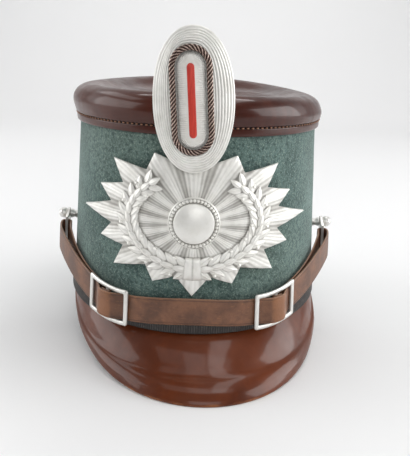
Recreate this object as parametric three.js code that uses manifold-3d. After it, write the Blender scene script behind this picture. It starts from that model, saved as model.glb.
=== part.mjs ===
// A shako: a stiff oval hat covered in grey-green wool, with a dished brown crown cap, front and rear
// peaks, a ribbed base band, a buckled chin strap held on two side posts, an oval metal cockade, and
// a silver front plate of a star with a wreath and a boss on it.
// Millimetres, +Z up, the front faces -Y. The hat stands on the lower edges of its two peaks.
import * as THREE from "three";
import { mergeVertices } from "three/addons/utils/BufferGeometryUtils.js";
import Module from "manifold-3d";

const { cos, sin, asin, abs, pow, hypot, min, max, PI } = Math;
const { degToRad, lerp, smoothstep } = THREE.MathUtils;

// Driving sizes. Heights are measured up from the body's lower edge, offsets out from its cloth.
const GAP = 0.3; // between pieces that touch
const INNER_GAP = 0.5; // between a flat flange and the hollow side of the body
const BASE_HALF_WIDTH = 83;
const BASE_HALF_LENGTH = 104;
const SEAM_HALF_WIDTH = 76.5;
const SEAM_HALF_LENGTH = 95;
const SEAM_SHIFT = -5; // the top sits this far in front of the base
const SEAM_HEIGHT = 110.8; // where the cloth meets the crown cap
const BODY_HEIGHT = 117;
const BODY_WALL = 3;
const BAND_HEIGHT = 9.5;
const BAND_THICKNESS = 1.2;
const PEAK_DROP = 27; // how far both peaks hang below the body
const PEAK_THICKNESS = 2.2;
const STRAP_WIDTH = 15.5;
const STRAP_THICKNESS = 1.5;
const BUCKLE_ANGLE = 33; // degrees round from the front to each buckle's middle bar
const BUCKLE_WIDTH = 29;
const BUCKLE_HEIGHT = 21.3;
const BUCKLE_BAR = 2.5;
const BUCKLE_OFFSET = 5.5; // its back, off the cloth
const BUCKLE_THICKNESS = 1.6;
const FOLD_ANGLE = 87; // degrees round to where the strap turns back in its bracket
const FOLD_OFFSET = 8.4;
const FOLD_RADIUS = 3;
const BRACKET_THICKNESS = 1.6;
const POST_BEHIND_FOLD = 9.5;
const POST_ABOVE_FOLD = 10.5;
const POST_SHANK_RADIUS = 1.7;
const EYE_SLACK = 0.9; // round the post in its bracket
const PLATE_MIDDLE = 66; // height of the front plate's middle
const PLATE_HALF_WIDTH = 64;
const PLATE_HALF_HEIGHT = 42.5;
const PLATE_THICKNESS = 1.2;
const STUD_RADIUS = 1.5;
const STUD_ACROSS = 27;
const WREATH_HALF_WIDTH = 36;
const WREATH_HALF_HEIGHT = 26;
const BOSS_RADIUS = 14;
const COCKADE_HALF_WIDTH = 20.7;
const COCKADE_HALF_HEIGHT = 36.5;
const COCKADE_MIDDLE = { x: -2, y: -108.9, z: 129.5 }; // the middle of its back
const COCKADE_LEAN = 2.4; // degrees, its top towards -X
const COCKADE_RING = { turn: 1.7, across: -0.9, up: 0.4 }; // how the cord and what is in it sit on it
const PRONG_WIDTH = 8;
const PRONG_THICKNESS = 1.2;
const SEGMENTS = 60; // round the oval

// The cloth's surface: an oval that narrows with height and shifts forward. Angle 0 is the front,
// and positive angles go round towards +X.
function ovalSizes(height) {
  const t = height / SEAM_HEIGHT;
  return {
    a: lerp(BASE_HALF_WIDTH, SEAM_HALF_WIDTH, t),
    b: lerp(BASE_HALF_LENGTH, SEAM_HALF_LENGTH, t),
    shift: SEAM_SHIFT * t,
  };
}

function oval(angle, height, offset = 0) {
  const { a, b, shift } = ovalSizes(height);
  return new THREE.Vector3((a + offset) * sin(angle), shift - (b + offset) * cos(angle), height);
}

// The outward direction of the cloth at a place on it.
function outward(angle, height) {
  const step = 0.01;
  const round = oval(angle + step, height).sub(oval(angle - step, height));
  const up = oval(angle, height + 1).sub(oval(angle, height - 1));
  return round.cross(up).normalize();
}

// Millimetres travelled round the cloth for each radian.
function travel(angle, height) {
  const { a, b } = ovalSizes(height);
  return hypot(a * cos(angle), b * sin(angle));
}

// A closed body out of points and triangles. The signed volume says whether the faces point out, and
// if they don't, each one is turned round.
function closedBody(points, index) {
  let volume = 0;
  for (let i = 0; i < index.length; i += 3) {
    const [p, q, r] = [points[index[i]], points[index[i + 1]], points[index[i + 2]]];
    volume += p.dot(q.clone().cross(r));
  }
  const geometry = new THREE.BufferGeometry().setFromPoints(points);
  geometry.setIndex(volume < 0 ? [...index].reverse() : index);
  geometry.computeVertexNormals();
  return geometry;
}

// A closed body through a row of sections with the same number of points each. A looped row joins its
// last section to its first, and an open one has flat ends.
function loft(sections, looped = false) {
  const size = sections[0].length;
  const index = [];
  const rows = looped ? sections.length : sections.length - 1;
  for (let i = 0; i < rows; i++) {
    for (let j = 0; j < size; j++) {
      const here = i * size;
      const next = ((i + 1) % sections.length) * size;
      const k = (j + 1) % size;
      index.push(here + j, next + j, next + k, here + j, next + k, here + k);
    }
  }
  if (!looped) {
    const last = (sections.length - 1) * size;
    for (let j = 1; j < size - 1; j++) {
      index.push(0, j, j + 1, last, last + j + 1, last + j);
    }
  }
  return closedBody(sections.flat(), index);
}

// A closed body of rings that shrink to a single point at both ends.
function capsule(startPoint, rings, endPoint) {
  const size = rings[0].length;
  const points = [startPoint, ...rings.flat(), endPoint];
  const index = [];
  const at = (i, j) => 1 + i * size + (j % size);
  for (let j = 0; j < size; j++) {
    index.push(0, at(0, j), at(0, j + 1));
    index.push(points.length - 1, at(rings.length - 1, j + 1), at(rings.length - 1, j));
    for (let i = 0; i < rings.length - 1; i++) {
      index.push(at(i, j), at(i + 1, j), at(i + 1, j + 1));
      index.push(at(i, j), at(i + 1, j + 1), at(i, j + 1));
    }
  }
  return closedBody(points, index);
}

const wasm = await Module();
wasm.setup();

function solidOf(geometry) {
  const bare = geometry.clone();
  bare.deleteAttribute("normal");
  bare.deleteAttribute("uv");
  const merged = mergeVertices(bare, 1e-4);
  const vertProperties = new Float32Array(merged.attributes.position.array);
  const triVerts = new Uint32Array(merged.index.array);
  return new wasm.Manifold(new wasm.Mesh({ numProp: 3, vertProperties, triVerts }));
}

function geometryOf(solid) {
  const { vertProperties, triVerts } = solid.getMesh();
  const geometry = new THREE.BufferGeometry();
  geometry.setAttribute("position", new THREE.BufferAttribute(vertProperties, 3));
  geometry.setIndex(new THREE.BufferAttribute(triVerts, 1));
  geometry.computeVertexNormals();
  return geometry;
}

// Turns a geometry whose own +Y is to point out of the cloth, and puts its origin on the cloth.
function standOnCloth(geometry, angle, height) {
  const turn = new THREE.Quaternion();
  turn.setFromUnitVectors(new THREE.Vector3(0, 1, 0), outward(angle, height));
  const place = oval(angle, height);
  return geometry.applyQuaternion(turn).translate(place.x, place.y, place.z);
}

const finish = (color, roughness, metalness) =>
  new THREE.MeshStandardMaterial({ color, roughness, metalness });
const woolCloth = finish(0x566f68, 0.95, 0);
const brownFibre = finish(0x5a2a18, 0.25, 0);
const bandLeather = finish(0x2b2624, 0.6, 0);
const strapLeather = finish(0x7a4a2c, 0.55, 0);
const silverMetal = finish(0xd9d8d2, 0.4, 1);
const paleSteel = finish(0xb4b4ae, 0.35, 1);
const copperCord = finish(0x4a2f26, 0.4, 0.6);
const redEnamel = finish(0xb5281a, 0.35, 0);

const hat = new THREE.Group();
function add(name, geometry, material) {
  const mesh = new THREE.Mesh(geometry, material);
  mesh.name = name;
  hat.add(mesh);
}

const roundAngles = Array.from({ length: SEGMENTS }, (_, i) => (2 * PI * i) / SEGMENTS);
const sides = [
  { side: "left", hand: -1 },
  { side: "right", hand: 1 },
];

// Places that more than one piece needs. The strap dips to the buckles and climbs to the posts.
function strapHeight(angle) {
  const degrees = abs(THREE.MathUtils.radToDeg(angle));
  return 14.4 - 2.2 * smoothstep(degrees, 0, 27) + 17.5 * smoothstep(degrees, 27, 80);
}
const foldAngle = degToRad(FOLD_ANGLE);
const foldHeight = strapHeight(foldAngle);
const postHeight = foldHeight + POST_ABOVE_FOLD;
const postAngle = foldAngle + POST_BEHIND_FOLD / travel(foldAngle, foldHeight);
const studAngle = asin(STUD_ACROSS / ovalSizes(PLATE_MIDDLE).a);

// Body: an open oval tube of stiff board under wool, drilled for the posts and the plate's studs.
function body() {
  const profile = [
    { offset: 0, height: 0 },
    { offset: 0, height: SEAM_HEIGHT },
    { offset: 0, height: BODY_HEIGHT },
    { offset: -BODY_WALL, height: BODY_HEIGHT },
    { offset: -BODY_WALL, height: 0 },
  ];
  const section = (angle) => profile.map(({ offset, height }) => oval(angle, height, offset));
  let tube = solidOf(loft(roundAngles.map(section), true));
  const drill = (radius, angle, height) => {
    const bit = new THREE.CylinderGeometry(radius, radius, 6 * BODY_WALL, 12);
    tube = tube.subtract(solidOf(standOnCloth(bit, angle, height)));
  };
  for (const { hand } of sides) {
    drill(POST_SHANK_RADIUS + GAP, hand * postAngle, postHeight);
    drill(STUD_RADIUS + GAP, hand * studAngle, PLATE_MIDDLE);
  }
  return geometryOf(tube);
}
add("body", body(), woolCloth);

// Base band: a ribbed strip round the body's lower edge.
function baseBand() {
  const edge = 0.4;
  const profile = [
    { offset: GAP, height: GAP },
    { offset: GAP, height: BAND_HEIGHT },
    { offset: GAP + BAND_THICKNESS, height: BAND_HEIGHT - edge },
    { offset: GAP + BAND_THICKNESS, height: GAP + edge },
  ];
  const section = (angle) => profile.map(({ offset, height }) => oval(angle, height, offset));
  return loft(roundAngles.map(section), true);
}
add("base_band", baseBand(), bandLeather);

// Crown cap: a moulded cap with a dished top, a round rim that stands proud of the body, and a sewn
// flange flat on the cloth. Offsets are from the oval at the seam, and rises from the seam.
const CAP_OUTSIDE = [
  { offset: -48, rise: 15.4 },
  { offset: -30, rise: 16.0 },
  { offset: -21, rise: 17.6 },
  { offset: -14, rise: 20.2 },
  { offset: -9, rise: 21.6 },
  { offset: -4.5, rise: 21.8 },
  { offset: -0.8, rise: 20.6 },
  { offset: 2.2, rise: 18.4 },
  { offset: 4.0, rise: 15.3 },
  { offset: 4.4, rise: 12.2 },
  { offset: 3.8, rise: 8.8 },
  { offset: 2.7, rise: 5.4 },
  { offset: 1.7, rise: 4.4 },
  { offset: 1.8, rise: 0 },
];
const CAP_INSIDE = [
  { offset: GAP, rise: 0 },
  { offset: GAP, rise: 5.2 },
  { offset: 1.9, rise: 9.4 },
  { offset: 2.4, rise: 12.2 },
  { offset: 2.0, rise: 14.4 },
  { offset: 0.7, rise: 16.7 },
  { offset: -1.6, rise: 18.5 },
  { offset: -4.7, rise: 19.5 },
  { offset: -8.6, rise: 19.3 },
  { offset: -13.4, rise: 17.9 },
  { offset: -20.4, rise: 15.3 },
  { offset: -30, rise: 13.6 },
  { offset: -48, rise: 13.0 },
];
const CAP_MIDDLE_RISE = { top: 15.2, under: 12.8 };
// The rim has settled with age: it has sunk and leans in on the right, and stands higher at the back.
const CAP_SETTLED = { down: 2.8, inward: 1.8, back: 3.2 };
function capPoint(angle, offset, rise) {
  const share = smoothstep(rise, 6, 16) * smoothstep(offset, -36, -10);
  const right = share * pow((1 + sin(angle)) / 2, 3);
  const back = share * pow((1 - cos(angle)) / 2, 4);
  const p = oval(angle, SEAM_HEIGHT, offset - CAP_SETTLED.inward * right);
  return p.setZ(SEAM_HEIGHT + rise - CAP_SETTLED.down * right + CAP_SETTLED.back * back);
}
function crownCap() {
  const ring = ({ offset, rise }) => roundAngles.map((angle) => capPoint(angle, offset, rise));
  const middle = (rise) => new THREE.Vector3(0, SEAM_SHIFT, SEAM_HEIGHT + rise);
  return capsule(
    middle(CAP_MIDDLE_RISE.top),
    [...CAP_OUTSIDE, ...CAP_INSIDE].map(ring),
    middle(CAP_MIDDLE_RISE.under),
  );
}
add("crown_cap", crownCap(), brownFibre);

// Peaks: each starts under the body's rim and sweeps out and down to an edge that is level across its
// middle, with a raised border along the edge. How far out and down it goes falls off round the oval.
const PEAKS = [
  { name: "front_peak", facing: 0, turn: 7.5, halfSweep: 86, reach: 33.5, steps: 40 },
  { name: "rear_peak", facing: 180, turn: 0, halfSweep: 66, reach: 24, steps: 30 },
];
const PEAK_SECTION = [
  { along: 0, lift: 0 },
  { along: 0.28, lift: 0.9 },
  { along: 0.56, lift: 0.6 },
  { along: 0.64, lift: 0.9 },
  { along: 0.72, lift: 1.9 },
  { along: 0.82, lift: 2.2 },
  { along: 0.92, lift: 1.6 },
  { along: 1, lift: 0.2 },
];
const PEAK_FADE = { beyond: 4, reachPower: 6.5, dropPower: 4.5 };
const PEAK_ROOT_OFFSET = -0.4;
const PEAK_EDGE_OFFSET = -0.5;
const PEAK_EDGE_RISE = 0.8; // the edge's middle, above the peak's lowest point
const FULL_SECTION_SLOPE = 20; // where the peak is narrower than this, its section is thinner too
function peak({ facing, turn, halfSweep, reach, steps }) {
  const middle = degToRad(facing + turn);
  const fade = (away, power) =>
    pow(1 - pow(abs(away) / degToRad(halfSweep + PEAK_FADE.beyond), power), 2);
  const ahead = new THREE.Vector3(sin(middle), -cos(middle), 0);
  const section = (_, i) => {
    const away = degToRad(lerp(-halfSweep, halfSweep, i / steps));
    const angle = middle + away;
    const root = oval(angle, 0, PEAK_ROOT_OFFSET).setZ(-GAP);
    const edge = oval(angle, 0, PEAK_EDGE_OFFSET).addScaledVector(
      ahead,
      reach * cos(away) * fade(away, PEAK_FADE.reachPower),
    );
    edge.z = -(PEAK_DROP - PEAK_EDGE_RISE) * fade(away, PEAK_FADE.dropPower) - GAP;
    const slope = edge.clone().sub(root);
    const side = outward(angle, 0).cross(new THREE.Vector3(0, 0, 1));
    const normal = side.cross(slope).normalize();
    if (normal.z < 0) {
      normal.negate();
    }
    const size = min(1, slope.length() / FULL_SECTION_SLOPE);
    const point = ({ along, lift }, depth) => {
      const p = root.clone().addScaledVector(slope, along);
      p.addScaledVector(normal, size * (lift - depth));
      return p.setZ(max(-PEAK_DROP, min(p.z, -GAP)));
    };
    const top = PEAK_SECTION.map((row) => point(row, 0));
    const under = PEAK_SECTION.map((row) => point(row, PEAK_THICKNESS)).reverse();
    return [...top, ...under];
  };
  return loft(Array.from({ length: steps + 1 }, section));
}
for (const row of PEAKS) {
  add(row.name, peak(row), brownFibre);
}

// Places on the chin strap: an angle round the cloth, how far across the strap's width, and how far
// off the cloth. hand mirrors them to the left side.
function strapPoint(angle, across, offset, hand) {
  const step = 0.01;
  const climb = strapHeight(angle + step) - strapHeight(angle - step);
  const steepness = hypot(1, climb / (2 * step * travel(angle, strapHeight(angle))));
  const height = strapHeight(angle) + across * steepness;
  return oval(hand * angle, height).addScaledVector(outward(hand * angle, height), offset);
}

// Chin strap: one ribbon. On each side its end is wrapped round the buckle's middle bar, runs back
// under it along the cloth to the bracket, turns there, comes forward, passes under the buckle's outer
// bar, over the middle one and under the inner one, and goes on across the front.
// Rows hold travel from the buckle's middle bar, towards the back, and the offset off the cloth.
const WRAP_THICKNESS = 0.9;
const UNDERLAY_THICKNESS = 1.2;
const AT_BUCKLE = [
  { travel: 2.6, offset: 7.8, thickness: WRAP_THICKNESS },
  { travel: 0.4, offset: 7.8, thickness: WRAP_THICKNESS },
  { travel: -1.6, offset: 7.3, thickness: WRAP_THICKNESS },
  { travel: -2.1, offset: 6.3, thickness: WRAP_THICKNESS },
  { travel: -1.6, offset: 5.1, thickness: WRAP_THICKNESS },
  { travel: 0.4, offset: 4.6, thickness: WRAP_THICKNESS },
  { travel: 4, offset: 3.6, thickness: UNDERLAY_THICKNESS },
  { travel: 9, offset: 2.6, thickness: UNDERLAY_THICKNESS },
  { travel: 16, offset: 2.5, thickness: UNDERLAY_THICKNESS },
];
const UNDERLAY = [
  { degrees: 52, offset: 2.5, thickness: UNDERLAY_THICKNESS },
  { degrees: 62, offset: 2.6, thickness: UNDERLAY_THICKNESS },
  { degrees: 72, offset: 3.1, thickness: UNDERLAY_THICKNESS },
  { degrees: 80, offset: 4.3, thickness: STRAP_THICKNESS },
];
const OVERLAY = [
  { degrees: 80, offset: 10.6, thickness: STRAP_THICKNESS },
  { degrees: 71, offset: 8.2, thickness: STRAP_THICKNESS },
  { degrees: 61, offset: 6.0, thickness: STRAP_THICKNESS },
  { degrees: 51, offset: 4.7, thickness: STRAP_THICKNESS },
];
const THROUGH_BUCKLE = [
  { travel: 16, offset: 4.4, thickness: STRAP_THICKNESS },
  { travel: 11.5, offset: 4.4, thickness: STRAP_THICKNESS },
  { travel: 6.5, offset: 7.2, thickness: STRAP_THICKNESS },
  { travel: 3, offset: 9.3, thickness: STRAP_THICKNESS },
  { travel: -0.5, offset: 9.4, thickness: STRAP_THICKNESS },
  { travel: -4, offset: 8.6, thickness: STRAP_THICKNESS },
  { travel: -8, offset: 6.0, thickness: STRAP_THICKNESS },
  { travel: -11.5, offset: 4.4, thickness: STRAP_THICKNESS },
  { travel: -16, offset: 4.3, thickness: STRAP_THICKNESS },
];
const ACROSS_FRONT = [
  { degrees: 12, offset: 3.6, thickness: STRAP_THICKNESS },
  { degrees: 0, offset: 3.4, thickness: STRAP_THICKNESS },
];
const FOLD_STEPS = 6;
function strapRoute() {
  const buckleAngle = degToRad(BUCKLE_ANGLE);
  const near = (angle, rows) =>
    rows.map((row) => ({ ...row, angle: angle + row.travel / travel(angle, strapHeight(angle)) }));
  const byDegrees = (rows) => rows.map((row) => ({ ...row, angle: degToRad(row.degrees) }));
  const fold = Array.from({ length: FOLD_STEPS + 1 }, (_, i) => ({
    travel: FOLD_RADIUS * sin((PI * i) / FOLD_STEPS),
    offset: FOLD_OFFSET - FOLD_RADIUS * cos((PI * i) / FOLD_STEPS),
    thickness: STRAP_THICKNESS,
  }));
  return [
    ...near(buckleAngle, AT_BUCKLE),
    ...byDegrees(UNDERLAY),
    ...near(foldAngle, fold),
    ...byDegrees(OVERLAY),
    ...near(buckleAngle, THROUGH_BUCKLE),
    ...byDegrees(ACROSS_FRONT),
  ];
}

function chinStrap() {
  const radius = (BASE_HALF_WIDTH + BASE_HALF_LENGTH) / 2;
  const rows = strapRoute();
  const half = rows.map(({ angle, offset, thickness }) =>
    new THREE.Vector3(radius * angle, offset, thickness));
  const otherHalf = half.slice(0, -1).reverse().map((v) => v.clone().setX(-v.x));
  const curve = new THREE.CatmullRomCurve3([...half, ...otherHalf], false, "centripetal");
  const samples = curve.getPoints(3 * (2 * half.length - 2));
  const sections = samples.map((sample, i) => {
    const before = samples[max(0, i - 1)];
    const after = samples[min(samples.length - 1, i + 1)];
    const angle = sample.x / radius;
    const hand = angle < 0 ? -1 : 1;
    const run = new THREE.Vector2(after.x - before.x, after.y - before.y).normalize();
    const reach = sample.z / 2;
    const mmToAngle = 1 / travel(angle, strapHeight(angle));
    const corner = (across, side) =>
      strapPoint(
        abs(angle - side * reach * run.y * mmToAngle),
        (across * STRAP_WIDTH) / 2,
        sample.y + side * reach * run.x,
        hand,
      );
    return [corner(1, 1), corner(1, -1), corner(-1, -1), corner(-1, 1)];
  });
  return loft(sections);
}
add("chin_strap", chinStrap(), strapLeather);

// A closed body between two outlines with the same number of points, from depth 0 to a depth. The rule
// places each point from its x, y and depth.
function frame(outer, inner, depth, rule) {
  const sections = outer.map((p, i) => [
    rule({ x: p.x, y: p.y, z: 0 }),
    rule({ x: inner[i].x, y: inner[i].y, z: 0 }),
    rule({ x: inner[i].x, y: inner[i].y, z: depth }),
    rule({ x: p.x, y: p.y, z: depth }),
  ]);
  return loft(sections, true);
}
function rectangle(left, right, low, high, steps) {
  const across = Array.from({ length: steps + 1 }, (_, i) => lerp(left, right, i / steps));
  const bottom = across.map((x) => ({ x, y: low }));
  const top = across.map((x) => ({ x, y: high })).reverse();
  return [...bottom, ...top];
}

// Buckles: flat frames with a middle bar, bent to the round of the hat.
function buckle(hand) {
  const angle = degToRad(BUCKLE_ANGLE);
  const perMillimetre = 1 / travel(angle, strapHeight(angle));
  const place = ({ x, y, z }) => strapPoint(angle + x * perMillimetre, y, BUCKLE_OFFSET + z, hand);
  const w = BUCKLE_WIDTH / 2;
  const h = BUCKLE_HEIGHT / 2;
  const outer = rectangle(-w, w, -h, h, 8);
  const inner = rectangle(BUCKLE_BAR - w, w - BUCKLE_BAR, BUCKLE_BAR - h, h - BUCKLE_BAR, 8);
  const rim = frame(outer, inner, BUCKLE_THICKNESS, place);
  const barHalfWidth = 1;
  const barEnd = h - BUCKLE_BAR / 2;
  const corners = rectangle(-barHalfWidth, barHalfWidth, -barEnd, barEnd, 1);
  const inset = 0.2;
  const bar = loft([
    corners.map((p) => place({ ...p, z: inset })),
    corners.map((p) => place({ ...p, z: BUCKLE_THICKNESS - inset })),
  ]);
  return geometryOf(solidOf(rim).add(solidOf(bar)));
}

// Moves every vertex of a closed geometry by a rule, and keeps its faces pointing out.
function bend(geometry, rule) {
  const bare = geometry.clone();
  bare.deleteAttribute("normal");
  bare.deleteAttribute("uv");
  const merged = mergeVertices(bare, 1e-4);
  const { position } = merged.attributes;
  const points = Array.from({ length: position.count }, (_, i) =>
    rule(new THREE.Vector3().fromBufferAttribute(position, i)));
  return closedBody(points, [...merged.index.array]);
}

// Brackets: flat plates that hang on the posts. The strap's fold goes round the front bar.
function bracket(hand) {
  const bar = 3;
  const barMiddle = 0.2;
  const front = barMiddle - bar / 2;
  const slotFront = barMiddle + bar / 2;
  const slotRear = slotFront + 2.9;
  const slotHalfHeight = STRAP_WIDTH / 2 + 0.6;
  const halfHeight = slotHalfHeight + 2.2;
  const lobe = 4.2;
  const outline = new THREE.Shape();
  outline.moveTo(front, -halfHeight);
  outline.lineTo(slotRear + 2, -halfHeight);
  outline.lineTo(POST_BEHIND_FOLD + lobe, POST_ABOVE_FOLD - lobe / 2);
  outline.absarc(POST_BEHIND_FOLD, POST_ABOVE_FOLD, lobe, 0, 0.75 * PI, false);
  outline.lineTo(front, halfHeight);
  outline.closePath();
  const slot = new THREE.Path();
  slot.moveTo(slotFront, -slotHalfHeight);
  slot.lineTo(slotFront, slotHalfHeight);
  slot.lineTo(slotRear, slotHalfHeight);
  slot.lineTo(slotRear, -slotHalfHeight);
  slot.closePath();
  const eye = new THREE.Path();
  eye.absarc(POST_BEHIND_FOLD, POST_ABOVE_FOLD, POST_SHANK_RADIUS + EYE_SLACK, 0, 2 * PI, true);
  outline.holes = [slot, eye];
  const plate = new THREE.ExtrudeGeometry(outline, {
    depth: BRACKET_THICKNESS,
    bevelEnabled: false,
    curveSegments: 6,
  });
  return bend(plate, ({ x, y, z }) =>
    strapPoint(foldAngle, y, FOLD_OFFSET - BRACKET_THICKNESS / 2 + z, hand).add(
      bracketRun(x, hand)));
}
function bracketRun(distance, hand) {
  const step = 0.01;
  const place = (angle) => strapPoint(angle, 0, FOLD_OFFSET, hand);
  const along = place(foldAngle + step).sub(place(foldAngle - step)).normalize();
  return along.multiplyScalar(distance);
}

// Posts: turned rivets through the body, with a flange on each face and a round knob.
const POST_PROFILE = [
  { radius: 0, offset: -5 },
  { radius: 4.5, offset: -5 },
  { radius: 4.5, offset: -BODY_WALL - INNER_GAP },
  { radius: POST_SHANK_RADIUS, offset: -BODY_WALL - INNER_GAP },
  { radius: POST_SHANK_RADIUS, offset: GAP },
  { radius: 5.5, offset: GAP },
  { radius: 5.5, offset: 1.3 },
  { radius: 3.2, offset: 2.1 },
  { radius: 2.5, offset: 4 },
  { radius: 3.2, offset: 6.6 },
  { radius: 3.2, offset: 7.2 },
  { radius: POST_SHANK_RADIUS, offset: 7.2 },
  { radius: POST_SHANK_RADIUS, offset: 9.8 },
  { radius: 3.2, offset: 10.6 },
  { radius: 3.7, offset: 12.6 },
  { radius: 2.6, offset: 15 },
  { radius: 0, offset: 16 },
];
function post(hand) {
  const outline = POST_PROFILE.map(({ radius, offset }) => new THREE.Vector2(radius, offset));
  return standOnCloth(new THREE.LatheGeometry(outline, 12), hand * postAngle, postHeight);
}
for (const { side, hand } of sides) {
  add(`strap_buckle_${side}`, buckle(hand), paleSteel);
  add(`strap_bracket_${side}`, bracket(hand), paleSteel);
  add(`post_${side}`, post(hand), paleSteel);
}

// Places on the front plate, which is vaulted and bent round the hat: x, a rise from its middle, and
// a lift off its back.
const VAULT = { edge: 0.8, middle: 5.8, tip: 3 };
function platePoint(x, rise, lift) {
  const height = PLATE_MIDDLE + rise;
  const out = hypot(x / PLATE_HALF_WIDTH, rise / PLATE_HALF_HEIGHT);
  const offset =
    lerp(VAULT.middle, VAULT.edge, min(1, out * out)) + VAULT.tip * pow(x / PLATE_HALF_WIDTH, 4) + lift;
  return oval(asin(x / (ovalSizes(height).a + offset)), height, offset);
}

// The star: pointed rays, long and short in turn, the top one cut off behind the cockade.
const STAR_RAYS = 16;
const STAR = { long: 1, short: 0.9, valley: 0.74, cut: 0.7 };
const STAR_RINGS = [0.2, 0.45, 0.7, 1];
function starReach(step) {
  if (step % 2) {
    return STAR.valley;
  }
  if (step === STAR_RAYS / 2) {
    return STAR.cut;
  }
  return step % 4 ? STAR.short : STAR.long;
}
function plateStar() {
  const corners = Array.from({ length: 2 * STAR_RAYS }, (_, step) => {
    const turn = (PI * step) / STAR_RAYS;
    return {
      x: PLATE_HALF_WIDTH * starReach(step) * cos(turn),
      rise: PLATE_HALF_HEIGHT * starReach(step) * sin(turn),
    };
  });
  const ring = (share, lift) => corners.map(({ x, rise }) => platePoint(share * x, share * rise, lift));
  const front = STAR_RINGS.map((share) => ring(share, PLATE_THICKNESS));
  const back = STAR_RINGS.map((share) => ring(share, 0)).reverse();
  let star = solidOf(
    capsule(platePoint(0, 0, PLATE_THICKNESS), [...front, ...back], platePoint(0, 0, 0)),
  );
  for (const { hand } of sides) {
    const length = 14;
    const top = VAULT.middle - 0.6;
    const stud = new THREE.CylinderGeometry(STUD_RADIUS, STUD_RADIUS, length, 12);
    stud.translate(0, top - length / 2, 0);
    star = star.add(solidOf(standOnCloth(stud, hand * studAngle, PLATE_MIDDLE)));
  }
  return geometryOf(star);
}
add("plate_star", plateStar(), silverMetal);

// The studs' nuts, inside the body.
function studNut(hand) {
  const bore = STUD_RADIUS + GAP;
  const radius = 3.6;
  const outside = -BODY_WALL - INNER_GAP;
  const inside = outside - 2.1;
  const ring = [
    new THREE.Vector2(bore, inside),
    new THREE.Vector2(radius, inside),
    new THREE.Vector2(radius, outside),
    new THREE.Vector2(bore, outside),
    new THREE.Vector2(bore, inside),
  ];
  return standOnCloth(new THREE.LatheGeometry(ring, 12), hand * studAngle, PLATE_MIDDLE);
}
for (const { side, hand } of sides) {
  add(`stud_nut_${side}`, studNut(hand), paleSteel);
}

// The wreath: two branches that meet at the bottom and stay open at the top, with leafy edges.
const WREATH_STEPS = 44;
const WREATH_HALF_SWEEP = 150;
const WREATH_LEAF = { short: 5.6, long: 7.4, tip: 0.25 };
const WREATH_LIFT = 0.7;
const WREATH_SECTION = [
  { across: -1, lift: 0 },
  { across: -0.6, lift: 1.5 },
  { across: 0, lift: 2.2 },
  { across: 0.6, lift: 1.5 },
  { across: 1, lift: 0 },
];
function plateWreath() {
  const section = (_, i) => {
    const share = lerp(-1, 1, i / WREATH_STEPS);
    const turn = degToRad(-90 + WREATH_HALF_SWEEP * share);
    const leaf = i % 2 ? WREATH_LEAF.long : WREATH_LEAF.short;
    const halfWidth = leaf * lerp(1, WREATH_LEAF.tip, pow(abs(share), 12));
    return WREATH_SECTION.map(({ across, lift }) =>
      platePoint(
        (WREATH_HALF_WIDTH + across * halfWidth) * cos(turn),
        (WREATH_HALF_HEIGHT + across * halfWidth) * sin(turn),
        PLATE_THICKNESS + WREATH_LIFT + lift,
      ));
  };
  return loft(Array.from({ length: WREATH_STEPS + 1 }, section));
}
add("plate_wreath", plateWreath(), silverMetal);

// The boss: a plain dome in a raised rim.
const BOSS_RINGS = [
  { share: 0.3, lift: 4.2 },
  { share: 0.6, lift: 3.5 },
  { share: 0.82, lift: 2.4 },
  { share: 0.88, lift: 2.8 },
  { share: 0.96, lift: 2.8 },
  { share: 1, lift: 1.6 },
  { share: 1, lift: 0 },
  { share: 0.5, lift: 0 },
];
const BOSS_STEPS = 28;
const BOSS_TOP = 4.4;
function plateBoss() {
  const base = PLATE_THICKNESS + GAP;
  const rings = BOSS_RINGS.map(({ share, lift }) =>
    Array.from({ length: BOSS_STEPS }, (_, i) => {
      const turn = (2 * PI * i) / BOSS_STEPS;
      const radius = BOSS_RADIUS * share;
      return platePoint(radius * cos(turn), radius * sin(turn), base + lift);
    }));
  return capsule(platePoint(0, 0, base + BOSS_TOP), rings, platePoint(0, 0, base));
}
add("plate_boss", plateBoss(), silverMetal);

// Cockade: an oval dish with a ring of cord, a ribbed inner oval and a red bar, in its own frame: x
// across, y up, z out of its back towards the front. The prong behind it goes down into the socket.
function placeCockade(geometry) {
  geometry.rotateZ(degToRad(COCKADE_LEAN));
  geometry.rotateX(PI / 2);
  return geometry.translate(COCKADE_MIDDLE.x, COCKADE_MIDDLE.y, COCKADE_MIDDLE.z);
}
function placeInRing(geometry) {
  geometry.rotateZ(degToRad(COCKADE_RING.turn));
  geometry.translate(COCKADE_RING.across, COCKADE_RING.up, 0);
  return placeCockade(geometry);
}
function superOval(halfWidth, halfHeight, power, count) {
  const round = (value) => Math.sign(value) * pow(abs(value), 2 / power);
  return Array.from({ length: count }, (_, i) => {
    const turn = (2 * PI * i) / count;
    return new THREE.Vector3(halfWidth * round(cos(turn)), halfHeight * round(sin(turn)), 0);
  });
}
// Points round a shape with straight sides and half-round ends.
function racetrack(halfWidth, halfHeight, roundSteps, sideSteps) {
  const straight = halfHeight - halfWidth;
  const points = [];
  for (const end of [1, -1]) {
    for (let i = 0; i <= roundSteps; i++) {
      const turn = (PI * i) / roundSteps;
      const y = straight + halfWidth * sin(turn);
      points.push(new THREE.Vector3(end * halfWidth * cos(turn), end * y, 0));
    }
    for (let i = 1; i < sideSteps; i++) {
      points.push(new THREE.Vector3(-end * halfWidth, end * lerp(straight, -straight, i / sideSteps), 0));
    }
  }
  return points;
}
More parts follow.
